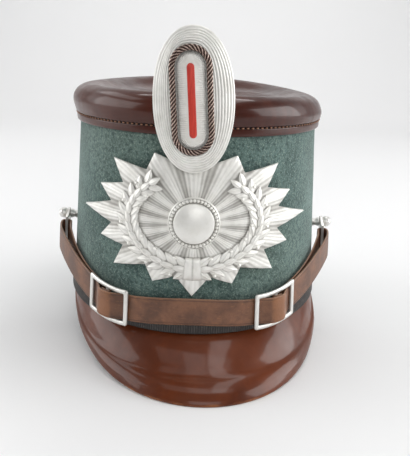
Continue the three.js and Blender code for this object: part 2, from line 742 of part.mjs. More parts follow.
// A dish with a ring for each row: how far its edge is drawn in, and its height.
function dish(outline, rows, middle) {
  const rings = rows.map(({ inset, z }) => outline(inset).map((p) => p.setZ(z)));
  return capsule(new THREE.Vector3(0, 0, middle.top), rings, new THREE.Vector3(0, 0, middle.under));
}
const COCKADE_ROWS = [
  { inset: 12, z: 4.2 },
  { inset: 8.2, z: 4.2 },
  { inset: 3, z: 3 },
  { inset: 0.3, z: 1.7 },
  { inset: 0, z: 0.8 },
  { inset: 0.4, z: 0 },
  { inset: 12, z: 0 },
];
const COCKADE_POWER = 2.15;
const COCKADE_FACE = 4.2;
const SOLDER = { depth: 2, height: 8, middle: 119 };
function cockadeProng() {
  const route = [
    { height: 124, offset: 7.9 },
    { height: 112, offset: 7.9 },
    { height: 98, offset: 2 },
    { height: 68, offset: 1.9 },
  ];
  const section = ({ height, offset }) =>
    [
      { x: -1, out: -1 },
      { x: 1, out: -1 },
      { x: 1, out: 1 },
      { x: -1, out: 1 },
    ].map(({ x, out }) => {
      const p = oval(0, min(height, SEAM_HEIGHT), offset + (out * PRONG_THICKNESS) / 2);
      return p.set((x * PRONG_WIDTH) / 2, p.y, height);
    });
  return loft(route.map(section));
}
function cockadeBase() {
  const outline = (inset) =>
    superOval(COCKADE_HALF_WIDTH - inset, COCKADE_HALF_HEIGHT - inset, COCKADE_POWER, 40);
  const face = placeCockade(dish(outline, COCKADE_ROWS, { top: COCKADE_FACE, under: 0 }));
  const solder = new THREE.BoxGeometry(PRONG_WIDTH, SOLDER.depth, SOLDER.height);
  solder.translate(0, COCKADE_MIDDLE.y, SOLDER.middle);
  return geometryOf(solidOf(face).add(solidOf(cockadeProng())).add(solidOf(solder)));
}
add("cockade_base", cockadeBase(), silverMetal);

const CORD = { halfWidth: 9.25, halfHeight: 25.65, radius: 1.6 };
function cockadeCord() {
  const centre = racetrack(CORD.halfWidth, CORD.halfHeight, 12, 10);
  const sections = centre.map((p, i) => {
    const after = centre[(i + 1) % centre.length];
    const before = centre[(i + centre.length - 1) % centre.length];
    const out = new THREE.Vector3(after.y - before.y, before.x - after.x, 0).normalize();
    return Array.from({ length: 6 }, (_, k) => {
      const turn = (PI * k) / 3;
      const q = p.clone().addScaledVector(out, CORD.radius * cos(turn));
      return q.setZ(COCKADE_FACE + GAP + CORD.radius * (1 + sin(turn)));
    });
  });
  return placeInRing(loft(sections, true));
}
add("cockade_cord", cockadeCord(), copperCord);

const INNER_OVAL = { halfWidth: 7.35, halfHeight: 23.75, face: 2.6 };
const INNER_ROWS = [
  { inset: 4, z: INNER_OVAL.face },
  { inset: 1.4, z: 2.2 },
  { inset: 0, z: 1.1 },
  { inset: 0, z: 0 },
  { inset: 4, z: 0 },
];
function innerOval() {
  const outline = (inset) =>
    racetrack(INNER_OVAL.halfWidth - inset, INNER_OVAL.halfHeight - inset, 12, 6);
  const pad = dish(outline, INNER_ROWS, { top: INNER_OVAL.face, under: 0 });
  return placeInRing(pad.translate(0, 0, COCKADE_FACE + GAP));
}
add("cockade_oval", innerOval(), silverMetal);

const RED_BAR = { halfWidth: 1.9, halfHeight: 18.2, thickness: 1 };
const RED_BAR_ROWS = [
  { inset: 0.9, z: RED_BAR.thickness },
  { inset: 0, z: 0.6 },
  { inset: 0, z: 0 },
  { inset: 0.9, z: 0 },
];
function redBar() {
  const outline = (inset) => racetrack(RED_BAR.halfWidth - inset, RED_BAR.halfHeight - inset, 8, 4);
  const bar = dish(outline, RED_BAR_ROWS, { top: RED_BAR.thickness, under: 0 });
  return placeInRing(bar.translate(0, 0, COCKADE_FACE + INNER_OVAL.face + 2 * GAP));
}
add("cockade_bar", redBar(), redEnamel);

// Socket: a flat sleeve on the cloth behind the plate, which holds the cockade's prong.
const SOCKET = { wall: 0.7, sideWall: 2, length: 18 };
function cockadeSocket() {
  const halfBore = PRONG_WIDTH / 2 + GAP;
  const depth = PRONG_THICKNESS + 2 * GAP;
  const halfOuter = halfBore + SOCKET.sideWall;
  const outer = rectangle(-halfOuter, halfOuter, 0, depth + 2 * SOCKET.wall, 4);
  const inner = rectangle(-halfBore, halfBore, SOCKET.wall, depth + SOCKET.wall, 4);
  return frame(outer, inner, SOCKET.length, ({ x, y, z }) => {
    const height = PLATE_MIDDLE + z;
    const offset = GAP + y;
    return oval(asin(x / (ovalSizes(height).a + offset)), height, offset);
  });
}
add("cockade_socket", cockadeSocket(), strapLeather);

// The origin is on the ground under the middle of the whole hat.
const box = new THREE.Box3().setFromObject(hat);
const centre = box.getCenter(new THREE.Vector3());
hat.position.set(-centre.x, -centre.y, -box.min.z);

export default hat;
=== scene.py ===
from math import asin, cos, hypot, pi, radians, sin, sqrt

import bmesh
import bpy
from mathutils import Matrix, Vector, noise


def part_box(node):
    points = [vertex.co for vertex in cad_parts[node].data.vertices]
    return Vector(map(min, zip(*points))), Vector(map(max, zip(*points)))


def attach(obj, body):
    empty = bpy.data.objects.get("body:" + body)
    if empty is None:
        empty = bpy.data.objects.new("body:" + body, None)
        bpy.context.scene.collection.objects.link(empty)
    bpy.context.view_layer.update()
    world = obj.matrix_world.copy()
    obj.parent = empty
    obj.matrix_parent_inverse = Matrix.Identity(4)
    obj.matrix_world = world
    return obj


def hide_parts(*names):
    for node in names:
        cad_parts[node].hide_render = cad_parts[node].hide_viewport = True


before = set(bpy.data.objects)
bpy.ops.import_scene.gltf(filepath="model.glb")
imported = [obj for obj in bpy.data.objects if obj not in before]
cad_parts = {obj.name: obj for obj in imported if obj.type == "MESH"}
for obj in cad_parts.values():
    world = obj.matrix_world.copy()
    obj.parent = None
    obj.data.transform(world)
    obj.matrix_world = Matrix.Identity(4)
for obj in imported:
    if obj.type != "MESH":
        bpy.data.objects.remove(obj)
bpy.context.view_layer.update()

# The hat's drawing is in millimetres, with its zero at the middle of the body's lower edge. Angle 0 is
# the front, and positive angles go round towards +X.
GAP = 0.3
BASE = {"a": 83, "b": 104}
SEAM = {"a": 76.5, "b": 95, "shift": -5, "height": 110.8}
BODY_HEIGHT = 117
BODY_WALL = 3
BAND_HEIGHT = 9.5
PEAK_DROP = 27
STRAP_WIDTH = 15.5
BUCKLE_ANGLE = radians(33)
FOLD_ANGLE = radians(87)
PLATE = {"middle": 66, "a": 64, "b": 42.5, "thickness": 1.2}
COCKADE = {"a": 20.7, "b": 36.5, "face": 4.2, "lean": radians(2.4), "power": 2.15}
COCKADE_MIDDLE = Vector((-2, -108.9, 129.5))
RING = {"turn": radians(1.7), "across": -0.9, "up": 0.4}
CORD = {"half_width": 9.25, "half_height": 25.65, "radius": 1.6}
INNER_OVAL = {"half_width": 7.35, "half_height": 23.75, "face": 2.6}
RED_BAR = {"half_width": 1.9, "half_height": 18.2, "thickness": 1}

body_low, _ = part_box("body")
ORIGIN = Vector((0, body_low.y * 1000 + BASE["b"], body_low.z * 1000))


def place(point):
    """A point of the drawing in the row frame, in metres."""
    return (point + ORIGIN) * 0.001


def lerp(start, end, share):
    return start + (end - start) * share


def smoothstep(value, low, high):
    t = min(1, max(0, (value - low) / (high - low)))
    return t * t * (3 - 2 * t)


def steps(low, high, count):
    return [lerp(low, high, i / count) for i in range(count + 1)]


def oval_sizes(height):
    t = height / SEAM["height"]
    return lerp(BASE["a"], SEAM["a"], t), lerp(BASE["b"], SEAM["b"], t), SEAM["shift"] * t


def oval(angle, height, offset=0.0):
    a, b, shift = oval_sizes(height)
    return Vector(((a + offset) * sin(angle), shift - (b + offset) * cos(angle), height))


def outward(angle, height):
    along = oval(angle + 0.01, height) - oval(angle - 0.01, height)
    up = oval(angle, height + 1) - oval(angle, height - 1)
    return along.cross(up).normalized()


def travel(angle, height):
    a, b, _ = oval_sizes(height)
    return hypot(a * cos(angle), b * sin(angle))


def smooth_path(points, per_span):
    """Points on one smooth curve through a row of them."""
    rows = [2 * points[0] - points[1], *points, 2 * points[-1] - points[-2]]
    path = []
    for p0, p1, p2, p3 in zip(rows, rows[1:], rows[2:], rows[3:]):
        t1 = sqrt(max((p1 - p0).length, 1e-6))
        t2 = t1 + sqrt(max((p2 - p1).length, 1e-6))
        t3 = t2 + sqrt(max((p3 - p2).length, 1e-6))
        for k in range(per_span):
            t = lerp(t1, t2, k / per_span)
            a1 = p0.lerp(p1, t / t1)
            a2 = p1.lerp(p2, (t - t1) / (t2 - t1))
            a3 = p2.lerp(p3, (t - t2) / (t3 - t2))
            b1 = a1.lerp(a2, t / t2)
            b2 = a2.lerp(a3, (t - t1) / (t3 - t1))
            path.append(b1.lerp(b2, (t - t1) / (t2 - t1)))
    return [*path, points[-1].copy()]


class Signal:
    """What a node gives out. Arithmetic on it adds Math nodes."""

    def __init__(self, finish, socket):
        self.finish = finish
        self.socket = socket

    def math(self, operation, first, second):
        return self.finish.add("ShaderNodeMath", {"operation": operation}, {0: first, 1: second})

    def __add__(self, other):
        return self.math("ADD", self, other)

    def __radd__(self, other):
        return self.math("ADD", other, self)

    def __sub__(self, other):
        return self.math("SUBTRACT", self, other)

    def __rsub__(self, other):
        return self.math("SUBTRACT", other, self)

    def __mul__(self, other):
        return self.math("MULTIPLY", self, other)

    def __rmul__(self, other):
        return self.math("MULTIPLY", other, self)

    def between(self, low, high):
        """0 below low, 1 above high, and a smooth climb in between."""
        values = {"Value": self, "From Min": low, "From Max": high}
        settings = {"interpolation_type": "SMOOTHSTEP"}
        return self.finish.add("ShaderNodeMapRange", settings, values)


class Finish:
    """One material, and the record's slot that it stands for."""

    def __init__(self, name, slot):
        self.slot = slot
        self.material = bpy.data.materials.new(name)
        self.material.use_nodes = True
        self.material.node_tree.nodes.clear()
        self.place = self.add("ShaderNodeTexCoord", output=3)

    def add(self, kind, settings=None, sockets=None, output=0):
        node = self.material.node_tree.nodes.new(kind)
        for key, value in (settings or {}).items():
            if key == "stops":
                for i, (position, colour) in enumerate(value):
                    if i >= 2:
                        node.color_ramp.elements.new(position)
                    node.color_ramp.elements[i].position = position
                    node.color_ramp.elements[i].color = colour
            else:
                setattr(node, key, value)
        for key, value in (sockets or {}).items():
            if isinstance(value, Signal):
                self.material.node_tree.links.new(value.socket, node.inputs[key])
            else:
                node.inputs[key].default_value = value
        return Signal(self, node.outputs[output])

    def stretched(self, x, y, z):
        return self.add("ShaderNodeVectorMath", {"operation": "MULTIPLY"}, {0: self.place, 1: (x, y, z)})

    def noise(self, scale, detail=2.0, roughness=0.5, where=None):
        values = {"Vector": where or self.place, "Scale": scale}
        values.update({"Detail": detail, "Roughness": roughness})
        return self.add("ShaderNodeTexNoise", {}, values)

    def cells(self, scale, where=None):
        return self.add("ShaderNodeTexVoronoi", {}, {"Vector": where or self.place, "Scale": scale})

    def paint(self, name):
        """A value that the mesh carries at each point."""
        return self.add("ShaderNodeAttribute", {"attribute_name": name}, output=2)

    def mix(self, factor, first, second):
        settings = {"data_type": "RGBA", "clamp_factor": True}
        return self.add("ShaderNodeMix", settings, {0: factor, 6: first, 7: second}, 2)

    def bump(self, height, millimetres, strength=1.0, under=None):
        values = {"Height": height, "Distance": millimetres * 0.001, "Strength": strength}
        if under:
            values["Normal"] = under
        return self.add("ShaderNodeBump", {}, values)

    def surface(self, values):
        shader = self.add("ShaderNodeBsdfPrincipled", {}, values)
        output = self.material.node_tree.nodes.new("ShaderNodeOutputMaterial")
        self.material.node_tree.links.new(shader.socket, output.inputs["Surface"])


def wool_finish():
    """Grey-green fulled wool: matted fibres, a faint felted mottle and a soft nap."""
    wool = Finish("grey_green_wool", "wool_cloth")
    fibres = wool.noise(1150, 3, 0.7)
    matted = wool.noise(480, 3, 0.65)
    mottle = wool.noise(60, 3)
    cloudy = wool.noise(14, 2)
    shade = wool.mix(mottle.between(0.3, 0.7), (0.05, 0.09, 0.083, 1), (0.1, 0.162, 0.147, 1))
    aged = wool.mix(cloudy.between(0.42, 0.75) * 0.45, shade, (0.12, 0.16, 0.13, 1))
    specks = wool.mix(fibres.between(0.48, 0.68) * 0.75, aged, (0.27, 0.345, 0.3, 1))
    dark = wool.mix((1 - matted.between(0.36, 0.54)) * 0.7, specks, (0.026, 0.048, 0.047, 1))
    relief = wool.bump(fibres * 0.5 + matted, 0.5, 0.8)
    wool.surface({
        "Base Color": dark,
        "Roughness": 0.95,
        "Specular IOR Level": 0.2,
        "Sheen Weight": 0.35,
        "Sheen Roughness": 0.5,
        "Sheen Tint": (0.75, 0.86, 0.82, 1),
        "Normal": relief,
    })
    return wool


def board_finish():
    """The bare inside of the stiff board, brown and slightly fibrous."""
    board = Finish("inner_board", "wool_cloth")
    fibres = board.noise(700, 4, 0.7, board.stretched(1, 1, 0.25))
    stains = board.noise(22, 3)
    tone = board.mix(fibres, (0.11, 0.07, 0.042, 1), (0.2, 0.135, 0.085, 1))
    worn = board.mix(stains.between(0.5, 0.75) * 0.5, tone, (0.06, 0.038, 0.025, 1))
    board.surface({
        "Base Color": worn,
        "Roughness": 0.85,
        "Normal": board.bump(fibres, 0.25, 0.6),
    })
    return board


def lacquer_finish(name, dark, light, coat_roughness, coat, sew=False):
    """Moulded leather under brown varnish, which is thin and lighter where it is worn."""
    lacquer = Finish(name, "brown_leather")
    depth = lacquer.noise(24, 3)
    streaks = lacquer.noise(160, 3, 0.6, lacquer.stretched(1, 1, 0.3))
    pores = lacquer.noise(1100, 2)
    chips = lacquer.noise(380, 4, 0.7)
    body = lacquer.mix(depth.between(0.3, 0.7), dark, light)
    thin = (light[0] * 1.4, light[1] * 1.4, light[2] * 1.3, 1)
    toned = lacquer.mix(streaks.between(0.4, 0.75) * 0.3, body, thin)
    wear = lacquer.paint("wear")
    rubbed = lacquer.mix(
        (wear * 0.8 + chips * wear).between(0.55, 1.05) * 0.55, toned, (0.34, 0.13, 0.05, 1)
    )
    height = depth * 2 + pores * 0.12
    if sew:
        # The pricked seam holes are painted near-black as painted shade, and pressed in by the bump.
        rubbed = lacquer.mix(lacquer.paint("hole"), rubbed, (0.004, 0.003, 0.003, 1))
        height = height - lacquer.paint("hole") * 8
    scuffs = lacquer.noise(90, 4, 0.65)
    lacquer.surface({
        "Base Color": rubbed,
        "Roughness": scuffs.between(0.2, 0.9) * 0.25 + 0.3,
        "Specular IOR Level": 0.2,
        "Coat Weight": coat - wear * 0.3,
        "Coat Roughness": coat_roughness,
        "Normal": lacquer.bump(height, 0.05, 0.7),
    })
    return lacquer


def strap_finish():
    """Worn brown leather, scuffed to orange on its humps and pale along its cut edges."""
    leather = Finish("worn_strap_leather", "strap_leather")
    grain = leather.cells(900)
    fine = leather.noise(1600, 3, 0.6)
    patches = leather.noise(70, 4, 0.6)
    streaks = leather.noise(240, 4, 0.65)
    wear = leather.paint("wear")
    edge = leather.paint("edge")
    tone = leather.mix(patches.between(0.3, 0.7), (0.1, 0.04, 0.02, 1), (0.21, 0.088, 0.042, 1))
    drawn = leather.mix(streaks.between(0.45, 0.75) * 0.5, tone, (0.07, 0.03, 0.018, 1))
    scratches = leather.noise(800, 4, 0.75, leather.stretched(0.3, 0.3, 1.4))
    scratched = leather.mix(scratches.between(0.58, 0.7) * 0.55, drawn, (0.34, 0.14, 0.05, 1))
    lined = leather.mix(leather.paint("hollow") * 0.75, scratched, (0.03, 0.012, 0.007, 1))
    scuffed = leather.mix(
        (wear + (streaks - 0.5) * 0.9).between(0.35, 0.95) * 0.6, lined, (0.3, 0.12, 0.045, 1)
    )
    frayed = (edge + (fine - 0.5) * 0.5).between(0.35, 0.9) * 0.6
    rim = leather.mix(frayed, scuffed, (0.32, 0.19, 0.12, 1))
    leather.surface({
        "Base Color": rim,
        "Roughness": 0.56 - wear * 0.12 + (patches - 0.5) * 0.2,
        "Coat Weight": 0.12 + patches * 0.12,
        "Coat Roughness": 0.3,
        "Normal": leather.bump(grain * 0.6 + fine * 0.5 + streaks * 0.8, 0.12, 0.75),
    })
    return leather


def band_finish():
    """Near-black ribbed tape, paler on its rib crests in a noisy pattern."""
    band = Finish("ribbed_band_leather", "band_leather")
    band_noise = band.noise(320, 4, 0.65)
    ribs = band.paint("wear")
    tone = band.mix(band_noise, (0.012, 0.01, 0.009, 1), (0.032, 0.027, 0.025, 1))
    crests = band.mix((ribs * band_noise).between(0.25, 0.75) * 0.6, tone, (0.12, 0.1, 0.09, 1))
    band.surface({
        "Base Color": crests,
        "Roughness": 0.62 - ribs * 0.2,
        "Normal": band.bump(band_noise, 0.1, 0.6),
    })
    return band


def satin_finish(name, slot, pale, roughness, metal):
    """Satin metal, finely grained, with painted shade in its hollows and undersides mixed with tarnish grime,
    and bright worn crests.
    """
    satin = Finish(name, slot)
    grain = satin.noise(1900, 3, 0.7)
    tarnish = satin.noise(130, 4, 0.6)
    scratches = satin.noise(420, 3, 0.6, satin.stretched(1, 1, 6))
    hollow = satin.paint("hollow")
    dull = (pale[0] * 0.8, pale[1] * 0.79, pale[2] * 0.76, 1)
    tone = satin.mix(tarnish.between(0.35, 0.75) * 0.5, pale, dull)
    # Painted shade: each piece's hollow value darkens its hollows and undersides; the tarnish noise mixes in
    # some real grime.
    shade_and_grime = (hollow * 0.9 + (tarnish - 0.5) * 0.4).between(0.2, 1.1) * 0.85
    shaded_and_grimy = satin.mix(shade_and_grime, tone, (0.2, 0.185, 0.16, 1))
    satin.surface({
        "Base Color": shaded_and_grimy,
        "Metallic": metal - hollow * 0.3,
        "Roughness": roughness + (tarnish - 0.5) * 0.16 + hollow * 0.2,
        "Normal": satin.bump(grain * 0.6 + scratches * 0.4, 0.05, 0.5),
    })
    return satin


def cord_finish():
    """Dark coppery twisted wire, with a painted pale highlight on the strand tops that face out of the
    cockade.
    """
    cord = Finish("twisted_copper_wire", "copper_wire")
    wear = cord.paint("wear")
    fleck_noise = cord.noise(700, 3, 0.6)
    tone = cord.mix(fleck_noise, (0.022, 0.009, 0.007, 1), (0.06, 0.026, 0.019, 1))
    # Painted highlight: pale colour where the strands face out of the cockade, broken up by noise.
    crests = cord.mix((wear + (fleck_noise - 0.5) * 0.7).between(0.62, 1.05), tone, (0.55, 0.42, 0.36, 1))
    cord.surface({
        "Base Color": crests,
        "Metallic": 0.55 + wear * 0.25,
        "Roughness": 0.42 - wear * 0.12,
        "Normal": cord.bump(fleck_noise, 0.06, 0.6),
    })
    return cord


def enamel_finish():
    """Red paint with a slight unevenness from the brush."""
    enamel = Finish("red_enamel_paint", "red_enamel")
    brush = enamel.noise(300, 3, 0.6, enamel.stretched(3, 1, 0.4))
    tone = enamel.mix(brush.between(0.3, 0.75), (0.5, 0.022, 0.01, 1), (0.66, 0.045, 0.022, 1))
    enamel.surface({
        "Base Color": tone,
        "Roughness": brush * 0.2 + 0.32,
        "Coat Weight": 0.3,
        "Coat Roughness": 0.25,
        "Normal": enamel.bump(brush, 0.12, 0.6),
    })
    return enamel


def thread_finish():
    """Waxed pale thread, with painted shade where it enters the leather."""
    thread = Finish("waxed_thread", "strap_leather")
    ply = thread.noise(1800, 2)
    # Painted shade at the thread's ends, where they dive into the holes.
    end_shade = thread.paint("hollow")
    tone = thread.mix(ply, (0.18, 0.07, 0.035, 1), (0.36, 0.18, 0.1, 1))
    shaded_ends = thread.mix(end_shade * 0.9, tone, (0.03, 0.012, 0.008, 1))
    thread.surface({
        "Base Color": shaded_ends,
        "Roughness": 0.6,
        "Normal": thread.bump(ply, 0.08, 0.7),
    })
    return thread


WOOL = wool_finish()
BOARD = board_finish()
CROWN_LACQUER = lacquer_finish(
    "crown_lacquer", (0.04, 0.007, 0.003, 1), (0.068, 0.014, 0.006, 1), 0.1, 0.4, sew=True
)
PEAK_LACQUER = lacquer_finish(
    "peak_lacquer", (0.078, 0.016, 0.004, 1), (0.122, 0.027, 0.007, 1), 0.1, 0.4
)
STRAP_LEATHER = strap_finish()
BAND_LEATHER = band_finish()
SILVER = satin_finish("satin_silver", "silver_metal", (0.88, 0.87, 0.83, 1), 0.42, 0.45)
PALE_METAL = satin_finish("pale_satin_metal", "pale_metal", (0.8, 0.79, 0.76, 1), 0.38, 0.75)
COPPER_CORD = cord_finish()
RED_ENAMEL = enamel_finish()
THREAD = thread_finish()


class Shell:
    """The points and faces of one piece, gathered part by part, with what each point carries."""

    def __init__(self):
        self.points = []
        self.faces = []
        self.paints = {}
        self.finishes = []

    def point(self, p, **paints):
        self.points.append(place(p))
        for name, value in paints.items():
            self.paints.setdefault(name, {})[len(self.points) - 1] = value
        return len(self.points) - 1

    def face(self, corners, finish=0):
        self.faces.append(corners)
        self.finishes.append(finish)

    def skin(self, rows, looped=False, capped=True, finish_of=None):
        """Joins rows of point numbers that are each closed rings."""
        size = len(rows[0])
        pairs = list(zip(rows, rows[1:]))
        if looped:
            pairs.append((rows[-1], rows[0]))
        for here, after in pairs:
            for j in range(size):
                k = (j + 1) % size
                finish = finish_of(j) if finish_of else 0
                self.face((here[j], after[j], after[k], here[k]), finish)
        if capped and not looped:
            self.face(tuple(rows[0]))
            self.face(tuple(reversed(rows[-1])))

    def skin_to_middles(self, rows, first, last):
        """Joins rows of point numbers, and closes both ends onto a middle point."""
        self.skin(rows, capped=False)
        for middle, row in ((first, rows[0]), (last, rows[-1])):
            centre = self.point(middle)
            for j in range(len(row)):
                self.face((centre, row[j], row[(j + 1) % len(row)]))

    def make(self, name, finishes, nodes=(), crease=50):
        mesh = bpy.data.meshes.new(name)
        mesh.from_pydata(self.points, [], self.faces)
        for finish in finishes:
            mesh.materials.append(finish.material)
        mesh.polygons.foreach_set("material_index", self.finishes)
        for paint, values in self.paints.items():
            attribute = mesh.attributes.new(paint, "FLOAT", "POINT")
            attribute.data.foreach_set("value", [values.get(i, 0.0) for i in range(len(self.points))])
        tidy = bmesh.new()
        tidy.from_mesh(mesh)
        bmesh.ops.recalc_face_normals(tidy, faces=tidy.faces)
        tidy.to_mesh(mesh)
        tidy.free()
        mesh.polygons.foreach_set("use_smooth", [True] * len(mesh.polygons))
        mesh.set_sharp_from_angle(angle=radians(crease))
        return settle(name, mesh, nodes)


def settle(name, mesh, nodes):
    """Puts a finished mesh into the scene as a piece of the hat."""
    piece = bpy.data.objects.new(name, mesh)
    bpy.context.scene.collection.objects.link(piece)
    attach(piece, "root")
    if nodes:
        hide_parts(*nodes)
    return piece


def eased_copy(name, node, finish, width=0.3):
    """A CAD piece's own shape with its edges eased."""
    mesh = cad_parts[node].data.copy()
    mesh.materials.clear()
    mesh.materials.append(finish.material)
    tidy = bmesh.new()
    tidy.from_mesh(mesh)
    bmesh.ops.remove_doubles(tidy, verts=tidy.verts, dist=1e-6)
    bmesh.ops.dissolve_limit(
        tidy, angle_limit=radians(3), verts=tidy.verts, edges=tidy.edges, use_dissolve_boundaries=False
    )
    sharp = [e for e in tidy.edges if len(e.link_faces) == 2 and e.calc_face_angle() > radians(35)]
    bmesh.ops.bevel(
        tidy, geom=sharp, offset=width * 0.001, segments=3, profile=0.6, affect="EDGES", clamp_overlap=True
    )
    tidy.to_mesh(mesh)
    tidy.free()
    mesh.polygons.foreach_set("material_index", [0] * len(mesh.polygons))
    mesh.polygons.foreach_set("use_smooth", [True] * len(mesh.polygons))
    mesh.set_sharp_from_angle(angle=radians(38))
    return settle(name, mesh, [node])


def round_angles(count):
    return [2 * pi * i / count for i in range(count)]


# The body: wool outside and over its lower edge, bare board inside.
def wool_body():
    shell = Shell()
    outside = [(0, h) for h in [0.8, 2, *steps(4, 114, 44), BODY_HEIGHT]]
    inside = [(-BODY_WALL, h) for h in [BODY_HEIGHT, *reversed(steps(3, 114, 20)), 0.8]]
    edge = [(-BODY_WALL + 0.35, 0.15), (-BODY_WALL + 0.9, 0), (-0.9, 0), (-0.35, 0.15)]
    profile = [*outside, *inside, *edge]
    rows = []
    for angle in round_angles(260):
        row = []
        for offset, height in profile:
            p = oval(angle, height, offset)
            pressed = 0
            if offset == 0 and height < BODY_HEIGHT:
                pressed = 0.16 * noise.noise(p * 0.035) + 0.07 * noise.noise(p * 0.2)
            row.append(shell.point(p + outward(angle, height) * (pressed - 0.05)))
        rows.append(row)
    low_inside = len(outside) - 1
    high_inside = len(outside) + len(inside) - 1
    shell.skin(rows, looped=True, finish_of=lambda j: 1 if low_inside <= j < high_inside else 0)
    shell.make("wool_body", [WOOL, BOARD], ["body"])


# The band: fine upright ribs round the body's lower edge.
def ribbed_band():
    shell = Shell()
    ribs = 380
    profile = [
        (GAP, GAP, 0),
        (GAP, BAND_HEIGHT, 0),
        (GAP + 0.7, BAND_HEIGHT, 0),
        (GAP + 1.05, BAND_HEIGHT - 0.35, 0.6),
        (GAP + 1.1, BAND_HEIGHT - 0.9, 1),
        *[(GAP + 1.1, h, 1) for h in steps(BAND_HEIGHT - 2, 2, 4)],
        (GAP + 1.1, GAP + 0.9, 1),
        (GAP + 1.05, GAP + 0.35, 0.6),
        (GAP + 0.7, GAP, 0),
    ]
    rows = []
    for i, angle in enumerate(round_angles(ribs * 4)):
        crest = (0, 0.62, 1, 0.62)[i % 4]
        rows.append([
            shell.point(oval(angle, h, offset - share * 0.4 * (1 - crest)), wear=crest * share)
            for offset, h, share in profile
        ])
    shell.skin(rows, looped=True)
    shell.make("ribbed_band", [BAND_LEATHER], ["base_band"], crease=80)


# The crown: a moulded cap with a dished top and a round rim, sewn to the body along a groove.
CAP_OUTSIDE = [
    (-48, 15.4), (-39, 15.6), (-30, 16.0), (-21, 17.6), (-14, 20.2), (-9, 21.6), (-4.5, 21.8), (-0.8, 20.6),
    (2.2, 18.4), (4.0, 15.3), (4.4, 12.2), (3.8, 8.8), (3.2, 7.0), (2.9, 5.9), (2.55, 5.25), (1.95, 4.75),
    (1.85, 4.3), (2.15, 3.9), (2.2, 3.2), (2.15, 1.4), (2.0, 0.5), (1.6, 0.05),
]
CAP_INSIDE = [
    (0.75, 0.02), (0.35, 0.2), (0.3, 5.2), (1.9, 9.4), (2.4, 12.2), (2.0, 14.4), (0.7, 16.7), (-1.6, 18.5),
    (-4.7, 19.5), (-8.6, 19.3), (-13.4, 17.9), (-20.4, 15.3), (-30, 13.6), (-48, 13.0),
]
CAP_MIDDLE_RISE = {"top": 15.2, "under": 12.8}
CAP_SETTLED = {"down": 2.8, "inward": 1.8, "back": 3.2}
STITCHES = 172
STITCH_RISE = 4.75


def cap_point(angle, offset, rise):
    """A place on the cap, whose rim has sunk on the right and stands higher at the back."""
    share = smoothstep(rise, 6, 16) * smoothstep(offset, -36, -10)
    right = share * ((1 + sin(angle)) / 2) ** 3
    back = share * ((1 - cos(angle)) / 2) ** 4
    where = oval(angle, SEAM["height"], offset - CAP_SETTLED["inward"] * right)
    where.z = SEAM["height"] + rise - CAP_SETTLED["down"] * right + CAP_SETTLED["back"] * back
    return where


def crown():
    shell = Shell()
    outside = smooth_path([Vector((o, r, 0)) for o, r in CAP_OUTSIDE], 3)
    groove = [i for i, p in enumerate(outside) if 3.9 < p.y < 5.6 and p.x > 0]
    profile = [*outside, *[Vector((o, r, 0)) for o, r in CAP_INSIDE]]
    per_stitch = 6
    count = STITCHES * per_stitch
    rows = [[] for _ in profile]
    for i, angle in enumerate(round_angles(count)):
        pricked = (1, 0.9, 0.3, 0, 0.3, 0.9)[i % per_stitch]
        for row, p, spot in zip(rows, profile, range(len(profile))):
            where = cap_point(angle, p.x, p.y)
            # The pricked holes are pressed in here; the finish also paints them near-black as painted shade.
            hole = pricked if spot in groove and abs(p.y - STITCH_RISE) < 0.6 else 0
            wave = 0.12 * noise.noise(where * 0.03) if spot < len(outside) and p.y > 6 else 0
            where += Vector((sin(angle), -cos(angle), 0.4)) * (wave - 0.25 * hole)
            wear = 0.4 * smoothstep(p.y, 20.4, 21.8)
            row.append(shell.point(where, hole=hole, wear=wear))
    top = Vector((0, SEAM["shift"], SEAM["height"] + CAP_MIDDLE_RISE["top"]))
    under = Vector((0, SEAM["shift"], SEAM["height"] + CAP_MIDDLE_RISE["under"]))
    shell.skin_to_middles(rows, top, under)
    shell.make("crown", [CROWN_LACQUER], ["crown_cap"], crease=70)


# Short threads that lie in the groove, each between two pricked holes.
def tube(shell, path, radii, count, paints=None):
    """A round tube with closed ends along a path."""
    rows = []
    for i, p in enumerate(path):
        run = (path[min(i + 1, len(path) - 1)] - path[max(i - 1, 0)]).normalized()
        side = run.cross(Vector((0, 0, 1)))
        if side.length < 0.05:
            side = run.cross(Vector((0, 1, 0)))
        side.normalize()
        up = side.cross(run)
        values = paints[i] if paints else {}
        rows.append([
            shell.point(p + (side * cos(t) + up * sin(t)) * radii[i], **values) for t in round_angles(count)
        ])
    shell.skin(rows)


def crown_stitches():
    shell = Shell()
    pitch = 2 * pi / STITCHES
    shape = [
        (-0.3, 0.02, 0.2), (-0.23, 0.25, 0.34), (-0.08, 0.38, 0.42),
        (0.08, 0.38, 0.42), (0.23, 0.25, 0.34), (0.3, 0.02, 0.2),
    ]
    for i in range(STITCHES):
        middle = pitch * (i + 0.5)
        slant = 0.12 * sin(i * 2.4)
        path = []
        for along, lift, _ in shape:
            p = oval(middle + along * pitch * 0.8, SEAM["height"], 2.0 + lift)
            p.z = SEAM["height"] + STITCH_RISE - 0.15 + slant * along
            path.append(p)
        # The thread's ends carry painted shade where they dive into the holes.
        ends = [{"hollow": 1 if k in (0, 5) else 0.3 if k in (1, 4) else 0} for k in range(6)]
        tube(shell, path, [r for _, _, r in shape], 6, ends)
    shell.make("crown_stitches", [THREAD])


# The peaks: each sweeps out and down from under the rim to a thick rolled border.
PEAK_SECTION = [
    (0, 0), (0.14, 0.55), (0.28, 0.88), (0.42, 0.84), (0.53, 0.62), (0.59, 0.64), (0.64, 0.95), (0.68, 1.45),
    (0.73, 1.95), (0.79, 2.17), (0.84, 2.16), (0.89, 1.88), (0.94, 1.42), (0.975, 0.9), (0.995, 0.25),
    (1.0, -0.45), (0.99, -1.25), (0.97, -1.8), (0.94, -1.7), (0.89, -0.35), (0.82, 0.0), (0.72, -0.35),
    (0.64, -1.3), (0.56, -1.6), (0.28, -1.3), (0.14, -1.65), (0, -2.2),
]


